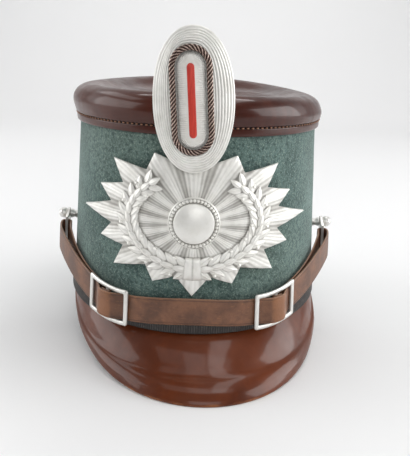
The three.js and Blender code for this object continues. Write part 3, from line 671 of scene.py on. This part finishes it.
def peak(name, node, facing, half_sweep, reach, count):
    shell = Shell()
    middle = radians(facing)
    beyond = radians(half_sweep + 4)
    ahead = Vector((sin(middle), -cos(middle), 0))
    rounds = smooth_path([Vector((a, l, 0)) for a, l in PEAK_SECTION], 3)
    rows = []
    for i in range(count + 1):
        away = radians(lerp(-half_sweep, half_sweep, i / count))
        angle = middle + away
        share = abs(away) / beyond
        root = oval(angle, 0, -0.4)
        root.z = -GAP
        edge = oval(angle, 0, -0.5) + ahead * (reach * cos(away) * (1 - share**6.5) ** 2)
        edge.z = -(PEAK_DROP - 0.8) * (1 - share**4.5) ** 2 - GAP
        slope = edge - root
        side = outward(angle, 0).cross(Vector((0, 0, 1)))
        normal = side.cross(slope).normalized()
        if normal.z < 0:
            normal.negate()
        size = min(1, slope.length / 20)
        row = []
        for p in rounds:
            where = root + slope * p.x + normal * (size * p.y)
            where.z = max(-PEAK_DROP, min(where.z, -GAP))
            dent = 0.04 * noise.noise(where * 0.04) if 0.1 < p.x < 0.95 else 0
            wear = smoothstep(p.x, 0.93, 1.0) * (0.6 + 0.5 * noise.noise(where * 0.12))
            row.append(shell.point(where + normal * dent * size, wear=max(0, wear)))
        rows.append(row)
    shell.skin(rows)
    shell.make(name, [PEAK_LACQUER], [node], crease=60)


# The strap: one ribbon from one buckle back under itself to the bracket, round it, and across the front.
def strap_height(angle):
    turned = abs(angle) * 180 / pi
    return 14.4 - 2.2 * smoothstep(turned, 0, 27) + 17.5 * smoothstep(turned, 27, 80)


def strap_point(angle, across, offset, hand):
    climb = strap_height(angle + 0.01) - strap_height(angle - 0.01)
    steepness = hypot(1, climb / (0.02 * travel(angle, strap_height(angle))))
    height = strap_height(angle) + across * steepness
    return oval(hand * angle, height) + outward(hand * angle, height) * offset


AT_BUCKLE = [
    (2.6, 7.8, 0.9), (0.4, 7.8, 0.9), (-1.6, 7.3, 0.9), (-2.1, 6.3, 0.9), (-1.6, 5.1, 0.9), (0.4, 4.6, 0.9),
    (4, 3.6, 1.2), (9, 2.6, 1.2), (16, 2.5, 1.2),
]
UNDERLAY = [(52, 2.5, 1.2), (62, 2.6, 1.2), (72, 3.1, 1.2), (80, 4.3, 1.5)]
OVERLAY = [(80, 10.6, 1.5), (71, 8.2, 1.5), (61, 6.0, 1.5), (51, 4.7, 1.5)]
THROUGH_BUCKLE = [
    (16, 4.4, 1.5), (11.5, 4.4, 1.5), (6.5, 7.2, 1.5), (3, 9.3, 1.5), (-0.5, 9.4, 1.5), (-4, 8.6, 1.5),
    (-8, 6.0, 1.5), (-11.5, 4.4, 1.5), (-16, 4.3, 1.5),
]
ACROSS_FRONT = [(12, 3.6, 1.5), (0, 3.4, 1.5)]
STRAP_SCALE = (BASE["a"] + BASE["b"]) / 2


def strap_route():
    def near(angle, rows):
        return [(angle + run / travel(angle, strap_height(angle)), off, thick) for run, off, thick in rows]

    def by_degrees(rows):
        return [(radians(turned), off, thick) for turned, off, thick in rows]

    fold = [(3 * sin(pi * i / 6), 8.4 - 3 * cos(pi * i / 6), 1.5) for i in range(7)]
    half = [
        *near(BUCKLE_ANGLE, AT_BUCKLE), *by_degrees(UNDERLAY), *near(FOLD_ANGLE, fold), *by_degrees(OVERLAY),
        *near(BUCKLE_ANGLE, THROUGH_BUCKLE), *by_degrees(ACROSS_FRONT),
    ]
    points = [Vector((STRAP_SCALE * angle, off, thick)) for angle, off, thick in half]
    other = [Vector((-p.x, p.y, p.z)) for p in reversed(points[:-1])]
    return smooth_path([*points, *other], 9)


def strap_section():
    """Places round the strap's cut: across, out of its middle, how far it is an edge or a groove."""
    face = [-0.93, -0.89, -0.85, -0.81, *steps(-0.7, 0.7, 7), 0.81, 0.85, 0.89, 0.93]
    front = []
    for a in face:
        groove = 1 if abs(abs(a) - 0.85) < 0.01 else 0
        front.append((a, 1 - 0.12 * a * a - 0.2 * groove, 0.3 * smoothstep(abs(a), 0.86, 0.93), groove))
    edge = [(0.975, 0.72, 0.7, 0), (1, 0.3, 1, 0), (1, -0.3, 1, 0), (0.975, -0.72, 0.7, 0)]
    back = [(-a, -s, e, g) for a, s, e, g in front]
    other = [(-a, -s, e, g) for a, s, e, g in edge]
    return [*front, *edge, *back, *other]


def strap():
    shell = Shell()
    route = strap_route()
    section = strap_section()
    rows = []
    for i, p in enumerate(route):
        before = route[max(0, i - 1)]
        after = route[min(len(route) - 1, i + 1)]
        angle = p.x / STRAP_SCALE
        hand = -1 if angle < 0 else 1
        run = Vector((after.x - before.x, after.y - before.y)).normalized()
        reach = p.z / 2
        to_angle = 1 / travel(angle, strap_height(angle))
        hump = smoothstep(p.y, 7.0, 9.2) * smoothstep(1.3 - abs(angle), 0, 0.3)
        row = []
        for across, out, edge, groove in section:
            where = strap_point(
                abs(angle - out * reach * run.y * to_angle),
                across * STRAP_WIDTH / 2,
                p.y + out * reach * run.x,
                hand,
            )
            patchy = 0.5 + 0.5 * noise.noise(where * 0.15)
            wear = 0.95 * hump * (0.6 + 0.6 * patchy) + 0.35 * edge * patchy
            row.append(shell.point(where, wear=wear, edge=edge, hollow=groove))
        rows.append(row)
    shell.skin(rows)
    shell.make("chin_strap_leather", [STRAP_LEATHER], ["chin_strap"], crease=60)


def rounded_outline(half_width, half_height, radius, along=8, corner=4):
    """Points round a rectangle with rounded corners."""
    points = []
    for turn, (cx, cy) in enumerate([(1, 1), (-1, 1), (-1, -1), (1, -1)]):
        middle = Vector((cx * (half_width - radius), cy * (half_height - radius)))
        for k in range(corner + 1):
            t = pi / 2 * (turn + k / corner)
            points.append(middle + Vector((cos(t), sin(t))) * radius)
        nx, ny = [(-1, 1), (-1, -1), (1, -1), (1, 1)][turn]
        start = points[-1]
        following = Vector((nx * (half_width - radius), ny * (half_height - radius)))
        t = pi / 2 * (turn + 1)
        end = following + Vector((cos(t), sin(t))) * radius
        points.extend(start.lerp(end, k / along) for k in range(1, along))
    return points


# The buckles: flat frames with soft edges and a middle bar, bent to the round of the hat.
def strap_buckle(name, node, hand):
    shell = Shell()
    per_millimetre = 1 / travel(BUCKLE_ANGLE, strap_height(BUCKLE_ANGLE))

    def bent(x, y, z):
        return strap_point(BUCKLE_ANGLE + x * per_millimetre, y, 5.5 + z, hand)

    outer = rounded_outline(14.5, 10.65, 1.3)
    inner = rounded_outline(12, 8.15, 0.5)
    cut = [
        (0.0, 0.4), (0.0, 1.1), (0.1, 1.42), (0.26, 1.58), (0.5, 1.62), (0.74, 1.58), (0.9, 1.42), (1.0, 1.1),
        (1.0, 0.4), (0.9, 0.12), (0.74, 0), (0.26, 0), (0.1, 0.12),
    ]
    rows = []
    for p, q in zip(outer, inner):
        row = []
        for share, z in cut:
            at = q.lerp(p, share)
            # Painted shade on the frame's inner edge and underside, and lightly on the bar.
            hollow = 0.75 if share < 0.05 else 0.3 if z < 0.2 else 0
            row.append(shell.point(bent(at.x, at.y, z), hollow=hollow))
        rows.append(row)
    shell.skin(rows, looped=True)
    bar = []
    for y in steps(-9.3, 9.3, 12):
        bar.append([
            shell.point(bent(1.0 * cos(t), y, 0.8 + 0.6 * sin(t)), hollow=0.2) for t in round_angles(10)
        ])
    shell.skin(bar)
    shell.make(name, [PALE_METAL], [node], crease=60)


# The posts: turned knobs on flanges, each with its rivet head inside the body.
KNOB = [
    (0, 16), (1.1, 15.9), (2.1, 15.45), (3.0, 14.6), (3.55, 13.6), (3.7, 12.6), (3.6, 11.6), (3.2, 10.7),
    (2.5, 10.05), (1.7, 9.8), (1.7, 8.5), (1.7, 7.2), (2.6, 7.2), (3.1, 7.1), (3.2, 6.8), (3.05, 6.2),
    (2.65, 5.2), (2.5, 4.2), (2.6, 3.3), (3.1, 2.4), (3.5, 2.05), (4.7, 1.75), (5.3, 1.45), (5.5, 1.1),
    (5.5, 0.6), (5.3, 0.35), (0, 0.3),
]
RIVET_HEAD = [(0, -3.5), (4.2, -3.5), (4.5, -3.7), (4.5, -4.4), (4.2, -4.75), (3, -4.95), (0, -5)]


def turned(shell, profile, rule, count, paint=0.0):
    """A solid of revolution; its profile starts and ends on its own middle line."""
    rows = []
    for radius, out in profile[1:-1]:
        row = []
        for t in round_angles(count):
            row.append(shell.point(rule(radius * cos(t), out, radius * sin(t)), hollow=paint))
        rows.append(row)
    shell.skin_to_middles(rows, rule(0, profile[0][1], 0), rule(0, profile[-1][1], 0))


def on_cloth(angle, height):
    turn = Vector((0, 1, 0)).rotation_difference(outward(angle, height)).to_matrix()
    middle = oval(angle, height)
    return lambda x, y, z: middle + turn @ Vector((x, y, z))


FOLD_HEIGHT = strap_height(FOLD_ANGLE)
POST_HEIGHT = FOLD_HEIGHT + 10.5
POST_ANGLE = FOLD_ANGLE + 9.5 / travel(FOLD_ANGLE, FOLD_HEIGHT)


def side_post(name, node, hand):
    shell = Shell()
    rule = on_cloth(hand * POST_ANGLE, POST_HEIGHT)
    turned(shell, KNOB, rule, 44)
    # The rivet head inside the body is darkened as painted shade.
    turned(shell, RIVET_HEAD, rule, 32, 0.4)
    shell.make(name, [PALE_METAL], [node], crease=45)


# Places on the front plate, which is vaulted and bent round the hat.
def plate_point(x, rise, lift):
    height = PLATE["middle"] + rise
    out = hypot(x / PLATE["a"], rise / PLATE["b"])
    offset = lerp(5.8, 0.8, min(1, out * out)) + 3 * (x / PLATE["a"]) ** 4 + lift
    a, _, _ = oval_sizes(height)
    return oval(asin(x / (a + offset)), height, offset)


# The star: sixteen rays, each stamped with a keel and two flutes, the top one cut off behind the cockade.
RAYS = 16
STAR_FINE = 20


def star_reach(step):
    if step % 2:
        return 0.74
    if step == RAYS // 2:
        return 0.7
    return 0.9 if step % 4 else 1


def plate_star():
    shell = Shell()
    shares = [0.06, 0.14, *steps(0.22, 0.9, 22), 0.95, 0.985, 1.0]
    count = 2 * RAYS * STAR_FINE
    corners = []
    keels = []
    for i in range(count):
        step, part = divmod(i, STAR_FINE)
        part /= STAR_FINE
        here, after = star_reach(step), star_reach((step + 1) % (2 * RAYS))
        start, end = pi * step / RAYS, pi * (step + 1) / RAYS
        first = Vector((PLATE["a"] * here * cos(start), PLATE["b"] * here * sin(start)))
        last = Vector((PLATE["a"] * after * cos(end), PLATE["b"] * after * sin(end)))
        corners.append(first.lerp(last, part))
        keels.append(1 - part if step % 2 == 0 else part)
    rows = []
    for share in shares:
        row = []
        for corner, keel in zip(corners, keels):
            flute = 0.5 - 0.5 * cos(keel * 6 * pi)
            spread = smoothstep(share, 0.1, 0.4)
            height = (0.24 + 0.5 * smoothstep(share, 0.7, 0.95)) * keel + 0.16 * (1 - flute)
            edge = 0.35 * smoothstep(share, 0.97, 1.0)
            p = plate_point(corner.x * share, corner.y * share, PLATE["thickness"] + height * spread - edge)
            # Painted shade: the flutes and the valleys between the keels are darkened through hollow.
            dull = (1 - keel) * 0.75 * spread + 0.35 * flute * spread
            row.append(shell.point(p, hollow=min(1, dull)))
        rows.append(row)
    # The plate's back is darkened as painted shade, and so are the studs.
    for share in [1.0, 0.85, 0.5, 0.15]:
        rows.append([shell.point(plate_point(c.x * share, c.y * share, 0), hollow=0.5) for c in corners])
    shell.skin_to_middles(rows, plate_point(0, 0, PLATE["thickness"]), plate_point(0, 0, 0))
    stud_angle = asin(27 / oval_sizes(PLATE["middle"])[0])
    for hand in (-1, 1):
        stud = [(0, -3.2), (1.5, -3.2), (1.5, -8.5), (1.3, -8.75), (0, -8.8)]
        turned(shell, stud, on_cloth(hand * stud_angle, PLATE["middle"]), 20, 0.3)
    shell.make("plate_star_rays", [SILVER], ["plate_star"], crease=40)


# The wreath: laurel leaves in threes along two stems, with berries between, tied at the bottom.
WREATH = {"a": 36, "b": 26, "lift": 0.85}


def wreath_frame(turn):
    """A place on the wreath's stem, and its directions along and out."""
    at = Vector((WREATH["a"] * cos(turn), WREATH["b"] * sin(turn)))
    along = Vector((-WREATH["a"] * sin(turn), WREATH["b"] * cos(turn))).normalized()
    out = Vector((along.y, -along.x))
    return at, along, out


def leaf(shell, root, direction, length, width, lift):
    across = Vector((-direction.y, direction.x))
    rows = []
    for u in steps(0, 1, 10):
        half = width / 2 * (sin(pi * min(1, u**0.85 * 0.97 + 0.03)) ** 0.8 + 0.02)
        ring = []
        for v in steps(-1, 1, 8):
            arch = 1.05 * sin(pi * (0.12 + 0.8 * u)) * (1 - 0.62 * v * v) + 0.55 * u * (1 - u)
            rib = 0.28 * max(0, 1 - abs(v) * 4.5) - 0.12 * max(0, 1 - abs(abs(v) - 0.3) * 5)
            at = root + direction * (length * u) + across * (half * v)
            # Painted shade: the leaf's edges, its root and the sides of its midrib are darkened through
            # hollow, and its underside fully.
            dull = 0.85 * abs(v) ** 3 + 0.5 * (1 - min(1, u * 4)) + 0.35 * max(0, 1 - abs(abs(v) - 0.3) * 5)
            where = plate_point(at.x, at.y, PLATE["thickness"] + lift + arch + rib)
            ring.append(shell.point(where, hollow=min(1, dull)))
        for v in reversed(steps(-0.9, 0.9, 3)):
            at = root + direction * (length * u) + across * (half * v)
            ring.append(shell.point(plate_point(at.x, at.y, PLATE["thickness"] + lift - 0.3), hollow=1))
        rows.append(ring)
    shell.skin(rows)


BERRY = [(0, 1.7), (0.45, 1.6), (0.85, 1.25), (1.05, 0.7), (1.05, 0), (0, -0.2)]


def berry(shell, middle):
    base = PLATE["thickness"] + WREATH["lift"]
    turned(shell, BERRY, lambda x, y, z: plate_point(middle.x + x, middle.y + z, base + y), 12)


def plate_wreath():
    shell = Shell()
    stations = 13
    for hand in (-1, 1):
        for i in range(stations):
            share = 0.04 + 0.9 * i / (stations - 1)
            turn = -pi / 2 + hand * radians(146) * share
            at, along, out = wreath_frame(turn)
            forward = along * hand
            size = lerp(1, 0.82, share)
            for tilt in (-0.68, 0.68):
                aim = (forward * cos(tilt) + out * sin(tilt)).normalized()
                root = at - forward * 1.8 + out * (0.5 * tilt)
                leaf(shell, root, aim, 10.6 * size, 5.0 * size, WREATH["lift"] - 0.2)
            leaf(shell, at - forward * 0.6, forward, 9.4 * size, 4.2 * size, WREATH["lift"] + 0.5)
            if i % 2:
                for tilt in (-1, 1):
                    berry(shell, at + out * (5.2 * tilt * size) + forward * 0.6)
    tie = []
    for turned_by in steps(-7.5, 7.5, 30):
        at, along, out = wreath_frame(-pi / 2 + radians(turned_by))
        ridge = 0.35 * abs(sin(radians(turned_by) * 24))
        ring = []
        for k in range(17):
            t = pi * k / 16
            lift = PLATE["thickness"] + WREATH["lift"] - 0.1 + (2.2 + ridge) * sin(t) ** 0.7
            spot = at + out * (6.6 * cos(t))
            # The grooves between the tie's ridges are darkened as painted shade.
            ring.append(shell.point(plate_point(spot.x, spot.y, lift), hollow=0.7 * (1 - ridge / 0.35)))
        tie.append(ring)
    shell.skin(tie)
    shell.make("laurel_wreath", [SILVER], ["plate_wreath"], crease=60)


# The boss: a plain dome inside a ring of small beads.
BOSS_RING = 12.3
BOSS_RADIUS = 14
BOSS_HEIGHT = 4.4


def plate_boss():
    shell = Shell()
    beads = 40
    fine = 8
    rows = []
    base = PLATE["thickness"] + GAP
    for share in [0.04, *steps(0.1, 0.74, 14), 0.77, 0.79, *steps(0.81, 0.95, 10), 0.965, 0.98, 0.993, 1.0]:
        row = []
        for i in range(beads * fine):
            turn = 2 * pi * i / (beads * fine)
            dome = BOSS_HEIGHT - 1.75 * (share / 0.79) ** 2.1
            lift = dome if share < 0.78 else 1.35
            # Painted shade: the dome's foot, the gaps between the beads and the rim are darkened through
            # hollow.
            hollow = 0.25 * smoothstep(share, 0.5, 0.76)
            if share >= 0.78:
                around = (i / fine + 0.5) % 1 - 0.5
                gap = hypot(around * 2 * pi * BOSS_RING / beads, (share - 0.88) * 14)
                bead = sqrt(max(0, 1 - (gap / 0.98) ** 2))
                lift = 1.4 + 1.35 * bead
                hollow = 0.9 * (1 - bead)
            if share > 0.95:
                lift = lerp(1.9, 1.2, (share - 0.95) / 0.05)
                hollow = 0.1
            reach = BOSS_RADIUS * share
            where = plate_point(reach * cos(turn), reach * sin(turn), base + lift)
            row.append(shell.point(where, hollow=hollow))
        rows.append(row)
    for share in (1.0, 0.6, 0.2):
        reach = BOSS_RADIUS * share
        rows.append([
            shell.point(plate_point(reach * cos(t), reach * sin(t), base))
            for t in round_angles(beads * fine)
        ])
    shell.skin_to_middles(rows, plate_point(0, 0, base + BOSS_HEIGHT), plate_point(0, 0, base))
    shell.make("plate_boss_dome", [SILVER], ["plate_boss"], crease=60)


# Places on the cockade: x across, y up, z out of its back.
def cockade_point(x, y, z):
    lean = COCKADE["lean"]
    across = x * cos(lean) - y * sin(lean)
    up = x * sin(lean) + y * cos(lean)
    return COCKADE_MIDDLE + Vector((across, -z, up))


def ring_point(x, y, z, share=1.0):
    """The same for the cord and what is in it, which sit a little turned and aside."""
    turn = RING["turn"] * share
    across = x * cos(turn) - y * sin(turn) + RING["across"] * share
    up = x * sin(turn) + y * cos(turn) + RING["up"] * share
    return cockade_point(across, up, z)


def super_oval(half_width, half_height, power, turn):
    c, s = cos(turn), sin(turn)
    x = half_width * abs(c) ** (2 / power) * (1 if c >= 0 else -1)
    y = half_height * abs(s) ** (2 / power) * (1 if s >= 0 else -1)
    return x, y


def racetrack(half_width, half_height, count):
    """Even steps round straight sides and half-round ends: a place on the middle line, and the way out."""
    straight = half_height - half_width
    side = 2 * straight
    bend = pi * half_width
    steps_round = []
    for i in range(count):
        run = 2 * (side + bend) * i / count
        hand = 1 if run < side + bend else -1
        run %= side + bend
        if run < side:
            middle = Vector((0, hand * (run - straight)))
            out = Vector((hand, 0))
        else:
            turn = (run - side) / half_width
            middle = Vector((0, hand * straight))
            out = Vector((cos(turn), sin(turn))) * hand
        steps_round.append((middle, out))
    return steps_round


# The cockade's dish, stamped with oval ridges one inside the other, and the prong behind it.
# The rolled edge's rows: inset, height and painted shade.
DISH_EDGE = [
    (0.7, 1.75, 0.3), (0.35, 1.6, 0), (0.1, 1.3, 0), (0, 0.9, 0), (0.05, 0.45, 0.2), (0.3, 0.15, 0.4),
    (0.6, 0, 0.5),
]
PRONG = [(7.9, 124), (7.9, 118), (7.9, 112), (2.0, 98), (1.9, 84), (1.9, 68)]


def cockade_dish():
    shell = Shell()
    rows = []
    ribs = 6
    profile = []
    # Each profile row is inset, height and painted shade: the valleys between ridges, the rolled edge, the
    # back and the prong are darkened through hollow.
    for inset in steps(12, 9.4, 4):
        profile.append((inset, 4.15, 0.1))
    for k in range(ribs * 8 + 1):
        share = k / (ribs * 8)
        inset = lerp(9.2, 1.1, share)
        wave = 0.5 - 0.5 * cos(share * ribs * 2 * pi)
        profile.append((inset, lerp(3.85, 1.75, share**1.6) + 0.3 * wave**0.7, 0.55 * (1 - wave)))
    profile += DISH_EDGE
    profile += [(inset, 0, 0.4) for inset in (3, 8, 12)]
    for inset, z, hollow in profile:
        row = []
        for turn in round_angles(180):
            inward = smoothstep(inset, 1.5, 9) if z > 0.5 else 0
            power = lerp(COCKADE["power"], 2.7, inward)
            x, y = super_oval(COCKADE["a"] - inset, COCKADE["b"] - inset, power, turn)
            row.append(shell.point(ring_point(x, y, z, inward), hollow=hollow))
        rows.append(row)
    shell.skin_to_middles(rows, cockade_point(0, 0, 4.15), cockade_point(0, 0, 0))
    route = smooth_path([Vector((0, height, offset)) for offset, height in PRONG], 6)
    prong = []
    for p in route:
        ring = []
        for turn in round_angles(16):
            x, out = super_oval(4, 0.6, 5, turn)
            at = oval(0, min(p.y, SEAM["height"]), p.z + out)
            ring.append(shell.point(Vector((x, at.y, p.y)), hollow=0.4))
        prong.append(ring)
    shell.skin(prong)
    shell.make("cockade_dish", [SILVER], ["cockade_base"], crease=60)


# The cord: five strands twisted together round the inner oval.
def cockade_cord():
    shell = Shell()
    strands, turns, strand_radius = 5, 12, 0.65
    helix = CORD["radius"] - strand_radius
    guide = racetrack(CORD["half_width"], CORD["half_height"], 900)
    for strand in range(strands):
        rows = []
        for i, (middle, out) in enumerate(guide):
            twist = -2 * pi * (turns * i / len(guide) + strand / strands)
            row = []
            for t in round_angles(10):
                side = helix * cos(twist) + strand_radius * cos(t)
                up = helix * sin(twist) + strand_radius * sin(t)
                # Marks the strands' outermost tops that face out of the cockade, which the finish paints as a
                # pale highlight.
                wear = smoothstep(hypot(side, up), 1.32, 1.57) * smoothstep(up, -0.2, 0.8)
                at = middle + out * (CORD["half_width"] + side)
                z = COCKADE["face"] + GAP + CORD["radius"] + up
                row.append(shell.point(ring_point(at.x, at.y, z), wear=wear))
            rows.append(row)
        shell.skin(rows, looped=True)
    shell.make("twisted_cord", [COPPER_CORD], ["cockade_cord"], crease=80)


# The inner oval: a low cushion with fine ribs that run in from its rim.
def cockade_inner_oval():
    shell = Shell()
    base = COCKADE["face"] + GAP
    face = INNER_OVAL["face"]
    profile = [
        (6.6, 0.0, 0), (5.4, 0.0, 0.1), (4.8, 0.0, 0.4), (3.8, 0.04, 0.8), (2.8, 0.14, 1), (1.9, 0.32, 1),
        (1.1, 0.65, 1), (0.5, 1.1, 1), (0.12, 1.6, 1), (0, 2.1, 0.7), (0.1, 2.5, 0), (0.5, 2.6, 0),
        (4, 2.6, 0),
    ]
    ribs = 110
    fine = 6
    guide = racetrack(INNER_OVAL["half_width"], INNER_OVAL["half_height"], ribs * fine)
    rows = []
    for inset, below, depth in profile:
        row = []
        for i, (middle, out) in enumerate(guide):
            crest = (1, 0.8, 0.3, 0, 0.3, 0.8)[i % fine]
            at = middle + out * (INNER_OVAL["half_width"] - inset)
            z = base + face - below - 0.28 * depth * (1 - crest)
            # Painted shade: the cushion's rim and the hollows between its ribs are darkened.
            rim = 0.5 * smoothstep(below, 1.2, 2.1)
            hollow = max(rim, 0.55 * depth * (1 - crest))
            row.append(shell.point(ring_point(at.x, at.y, max(base, z)), hollow=hollow))
        rows.append(row)
    shell.skin_to_middles(rows, ring_point(0, 0, base + face), ring_point(0, 0, base))
    shell.make("inner_oval", [SILVER], ["cockade_oval"], crease=80)


def cockade_red_bar():
    shell = Shell()
    base = COCKADE["face"] + INNER_OVAL["face"] + 2 * GAP
    profile = [
        (1.4, 1.0), (1.0, 0.98), (0.55, 0.88), (0.2, 0.68), (0.03, 0.42), (0, 0.2), (0.15, 0), (1.2, 0),
    ]
    guide = racetrack(RED_BAR["half_width"], RED_BAR["half_height"], 120)
    rows = []
    for inset, share in profile:
        row = []
        for middle, out in guide:
            at = middle + out * (RED_BAR["half_width"] - inset)
            row.append(shell.point(ring_point(at.x, at.y, base + RED_BAR["thickness"] * share)))
        rows.append(row)
    shell.skin_to_middles(rows, ring_point(0, 0, base + RED_BAR["thickness"]), ring_point(0, 0, base))
    shell.make("red_bar", [RED_ENAMEL], ["cockade_bar"], crease=60)


wool_body()
ribbed_band()
crown()
crown_stitches()
peak("front_peak_leather", "front_peak", 7.5, 86, 33.5, 220)
peak("rear_peak_leather", "rear_peak", 180, 66, 24, 160)
strap()
for side, hand in (("left", -1), ("right", 1)):
    strap_buckle(f"buckle_{side}", f"strap_buckle_{side}", hand)
    side_post(f"side_post_{side}", f"post_{side}", hand)
    eased_copy(f"bracket_{side}", f"strap_bracket_{side}", PALE_METAL)
    eased_copy(f"nut_{side}", f"stud_nut_{side}", PALE_METAL)
plate_star()
plate_wreath()
plate_boss()
cockade_dish()
cockade_cord()
cockade_inner_oval()
cockade_red_bar()
eased_copy("prong_socket", "cockade_socket", STRAP_LEATHER, 0.2)


# A pale seamless floor, painted dark grey towards the front as painted shade for the dim end of the room.
def studio_floor():
    paper = Finish("studio_paper", "")
    ahead = paper.add("ShaderNodeSeparateXYZ", {}, {0: paper.place}, 1)
    mottle = paper.mix(paper.noise(3, 2), (0.86, 0.86, 0.86, 1), (0.88, 0.88, 0.88, 1))
    # Painted shade: the paper's own colour turns dark in front of the hat.
    shade = paper.mix(ahead.between(-0.6, -0.32), (0.12, 0.12, 0.12, 1), mottle)
    paper.surface({"Base Color": shade, "Roughness": 0.9, "Specular IOR Level": 0.1})
    build = bmesh.new()
    rows = []
    for along in [-2.4, -1.2, *steps(-0.6, 1.2, 4), *steps(1.3, 2.6, 16)]:
        climb = max(0, along - 1.2)
        rows.append([build.verts.new((x, along, 0.9 * climb * climb)) for x in (-3, 3)])
    for here, after in zip(rows, rows[1:]):
        build.faces.new((here[0], here[1], after[1], after[0]))
    mesh = bpy.data.meshes.new("studio_floor")
    build.to_mesh(mesh)
    build.free()
    mesh.materials.append(paper.material)
    mesh.polygons.foreach_set("use_smooth", [True] * len(mesh.polygons))
    floor = bpy.data.objects.new("studio_floor", mesh)
    bpy.context.scene.collection.objects.link(floor)


def soft_light(name, where, target, length, width, power, along):
    """A soft box whose long side runs the way that along points."""
    lamp = bpy.data.lights.new(name, "AREA")
    lamp.shape = "RECTANGLE"
    lamp.size = length
    lamp.size_y = width
    lamp.energy = power
    back = (Vector(where) - Vector(target)).normalized()
    side = (Vector(along) - back * back.dot(Vector(along))).normalized()
    turn = Matrix((side, back.cross(side), back)).transposed()
    light = bpy.data.objects.new(name, lamp)
    light.matrix_world = Matrix.Translation(where) @ turn.to_4x4()
    bpy.context.scene.collection.objects.link(light)


# White walls at the sides and behind, a dim ceiling and a dim room in front.
def studio_air():
    world = bpy.data.worlds.new("studio_air")
    world.use_nodes = True
    bpy.context.scene.world = world
    nodes, links = world.node_tree.nodes, world.node_tree.links
    place_in_room = nodes.new("ShaderNodeTexCoord")
    parts = nodes.new("ShaderNodeSeparateXYZ")
    links.new(place_in_room.outputs["Generated"], parts.inputs[0])
    shares = []
    for axis, low, high in (("Y", -0.7, 0.3), ("Z", 0.75, 0.3)):
        climb = nodes.new("ShaderNodeMapRange")
        climb.interpolation_type = "SMOOTHSTEP"
        climb.inputs["From Min"].default_value = low
        climb.inputs["From Max"].default_value = high
        links.new(parts.outputs[axis], climb.inputs["Value"])
        shares.append(climb.outputs[0])
    both = nodes.new("ShaderNodeMath")
    both.operation = "MULTIPLY"
    links.new(shares[0], both.inputs[0])
    links.new(shares[1], both.inputs[1])
    tone = nodes.new("ShaderNodeMix")
    tone.data_type = "RGBA"
    links.new(both.outputs[0], tone.inputs[0])
    tone.inputs[6].default_value = (0.09, 0.09, 0.093, 1)
    tone.inputs[7].default_value = (0.98, 0.99, 1, 1)
    links.new(tone.outputs[2], nodes["Background"].inputs["Color"])


def studio_lights():
    middle = (0, 0, 0.08)
    ahead, aside = (0, 1, 0), (1, 0, 0)
    soft_light("ceiling_right", (0.4, 0, 1.36), middle, 1.2, 0.3, 3.6, ahead)
    soft_light("ceiling_left", (-0.86, 0.4, 1.1), middle, 1.2, 0.3, 2.4, ahead)
    soft_light("high_front_right", (0.25, -0.54, 1.36), middle, 0.9, 0.3, 1.1, aside)
    soft_light("high_front_left", (-0.25, -0.54, 1.36), middle, 0.9, 0.3, 0.8, aside)
    soft_light("side_right", (1.3, -0.1, 0.5), middle, 1.2, 0.9, 13, ahead)
    soft_light("side_left", (-1.3, -0.1, 0.5), middle, 1.2, 0.9, 8, ahead)
    soft_light("front", (0.15, -1.4, 0.6), middle, 0.9, 0.7, 5.5, aside)
    soft_light("backdrop", (0, 1.2, 2.2), (0, 2.2, 0.2), 2.0, 0.6, 26, aside)


# The camera, fitted to the hat's outlines. The picture is 410 by 456, and it leans a little.
FOCAL_PIXELS = 626.35
PICTURE_HEIGHT = 456


def camera():
    aside, down, roll = radians(0.66), radians(15.373), radians(2.153)
    level = Vector((sin(aside), cos(aside), 0))
    forward = level * cos(down) - Vector((0, 0, sin(down)))
    right = Vector((cos(aside), -sin(aside), 0))
    up = level * sin(down) + Vector((0, 0, cos(down)))
    across = right * cos(roll) + up * sin(roll)
    upward = up * cos(roll) - right * sin(roll)
    lens = bpy.data.cameras.new("photo_camera")
    lens.sensor_width = 36
    lens.lens = FOCAL_PIXELS / PICTURE_HEIGHT * lens.sensor_width
    lens.clip_start = 0.01
    eye = bpy.data.objects.new("photo_camera", lens)
    turn = Matrix((across, upward, -forward)).transposed()
    eye.matrix_world = Matrix.Translation(place(Vector((2.25, -429.0, 151.64)))) @ turn.to_4x4()
    bpy.context.scene.collection.objects.link(eye)
    bpy.context.scene.camera = eye


studio_floor()
studio_air()
studio_lights()
camera()
bpy.context.scene.view_settings.view_transform = "Standard"
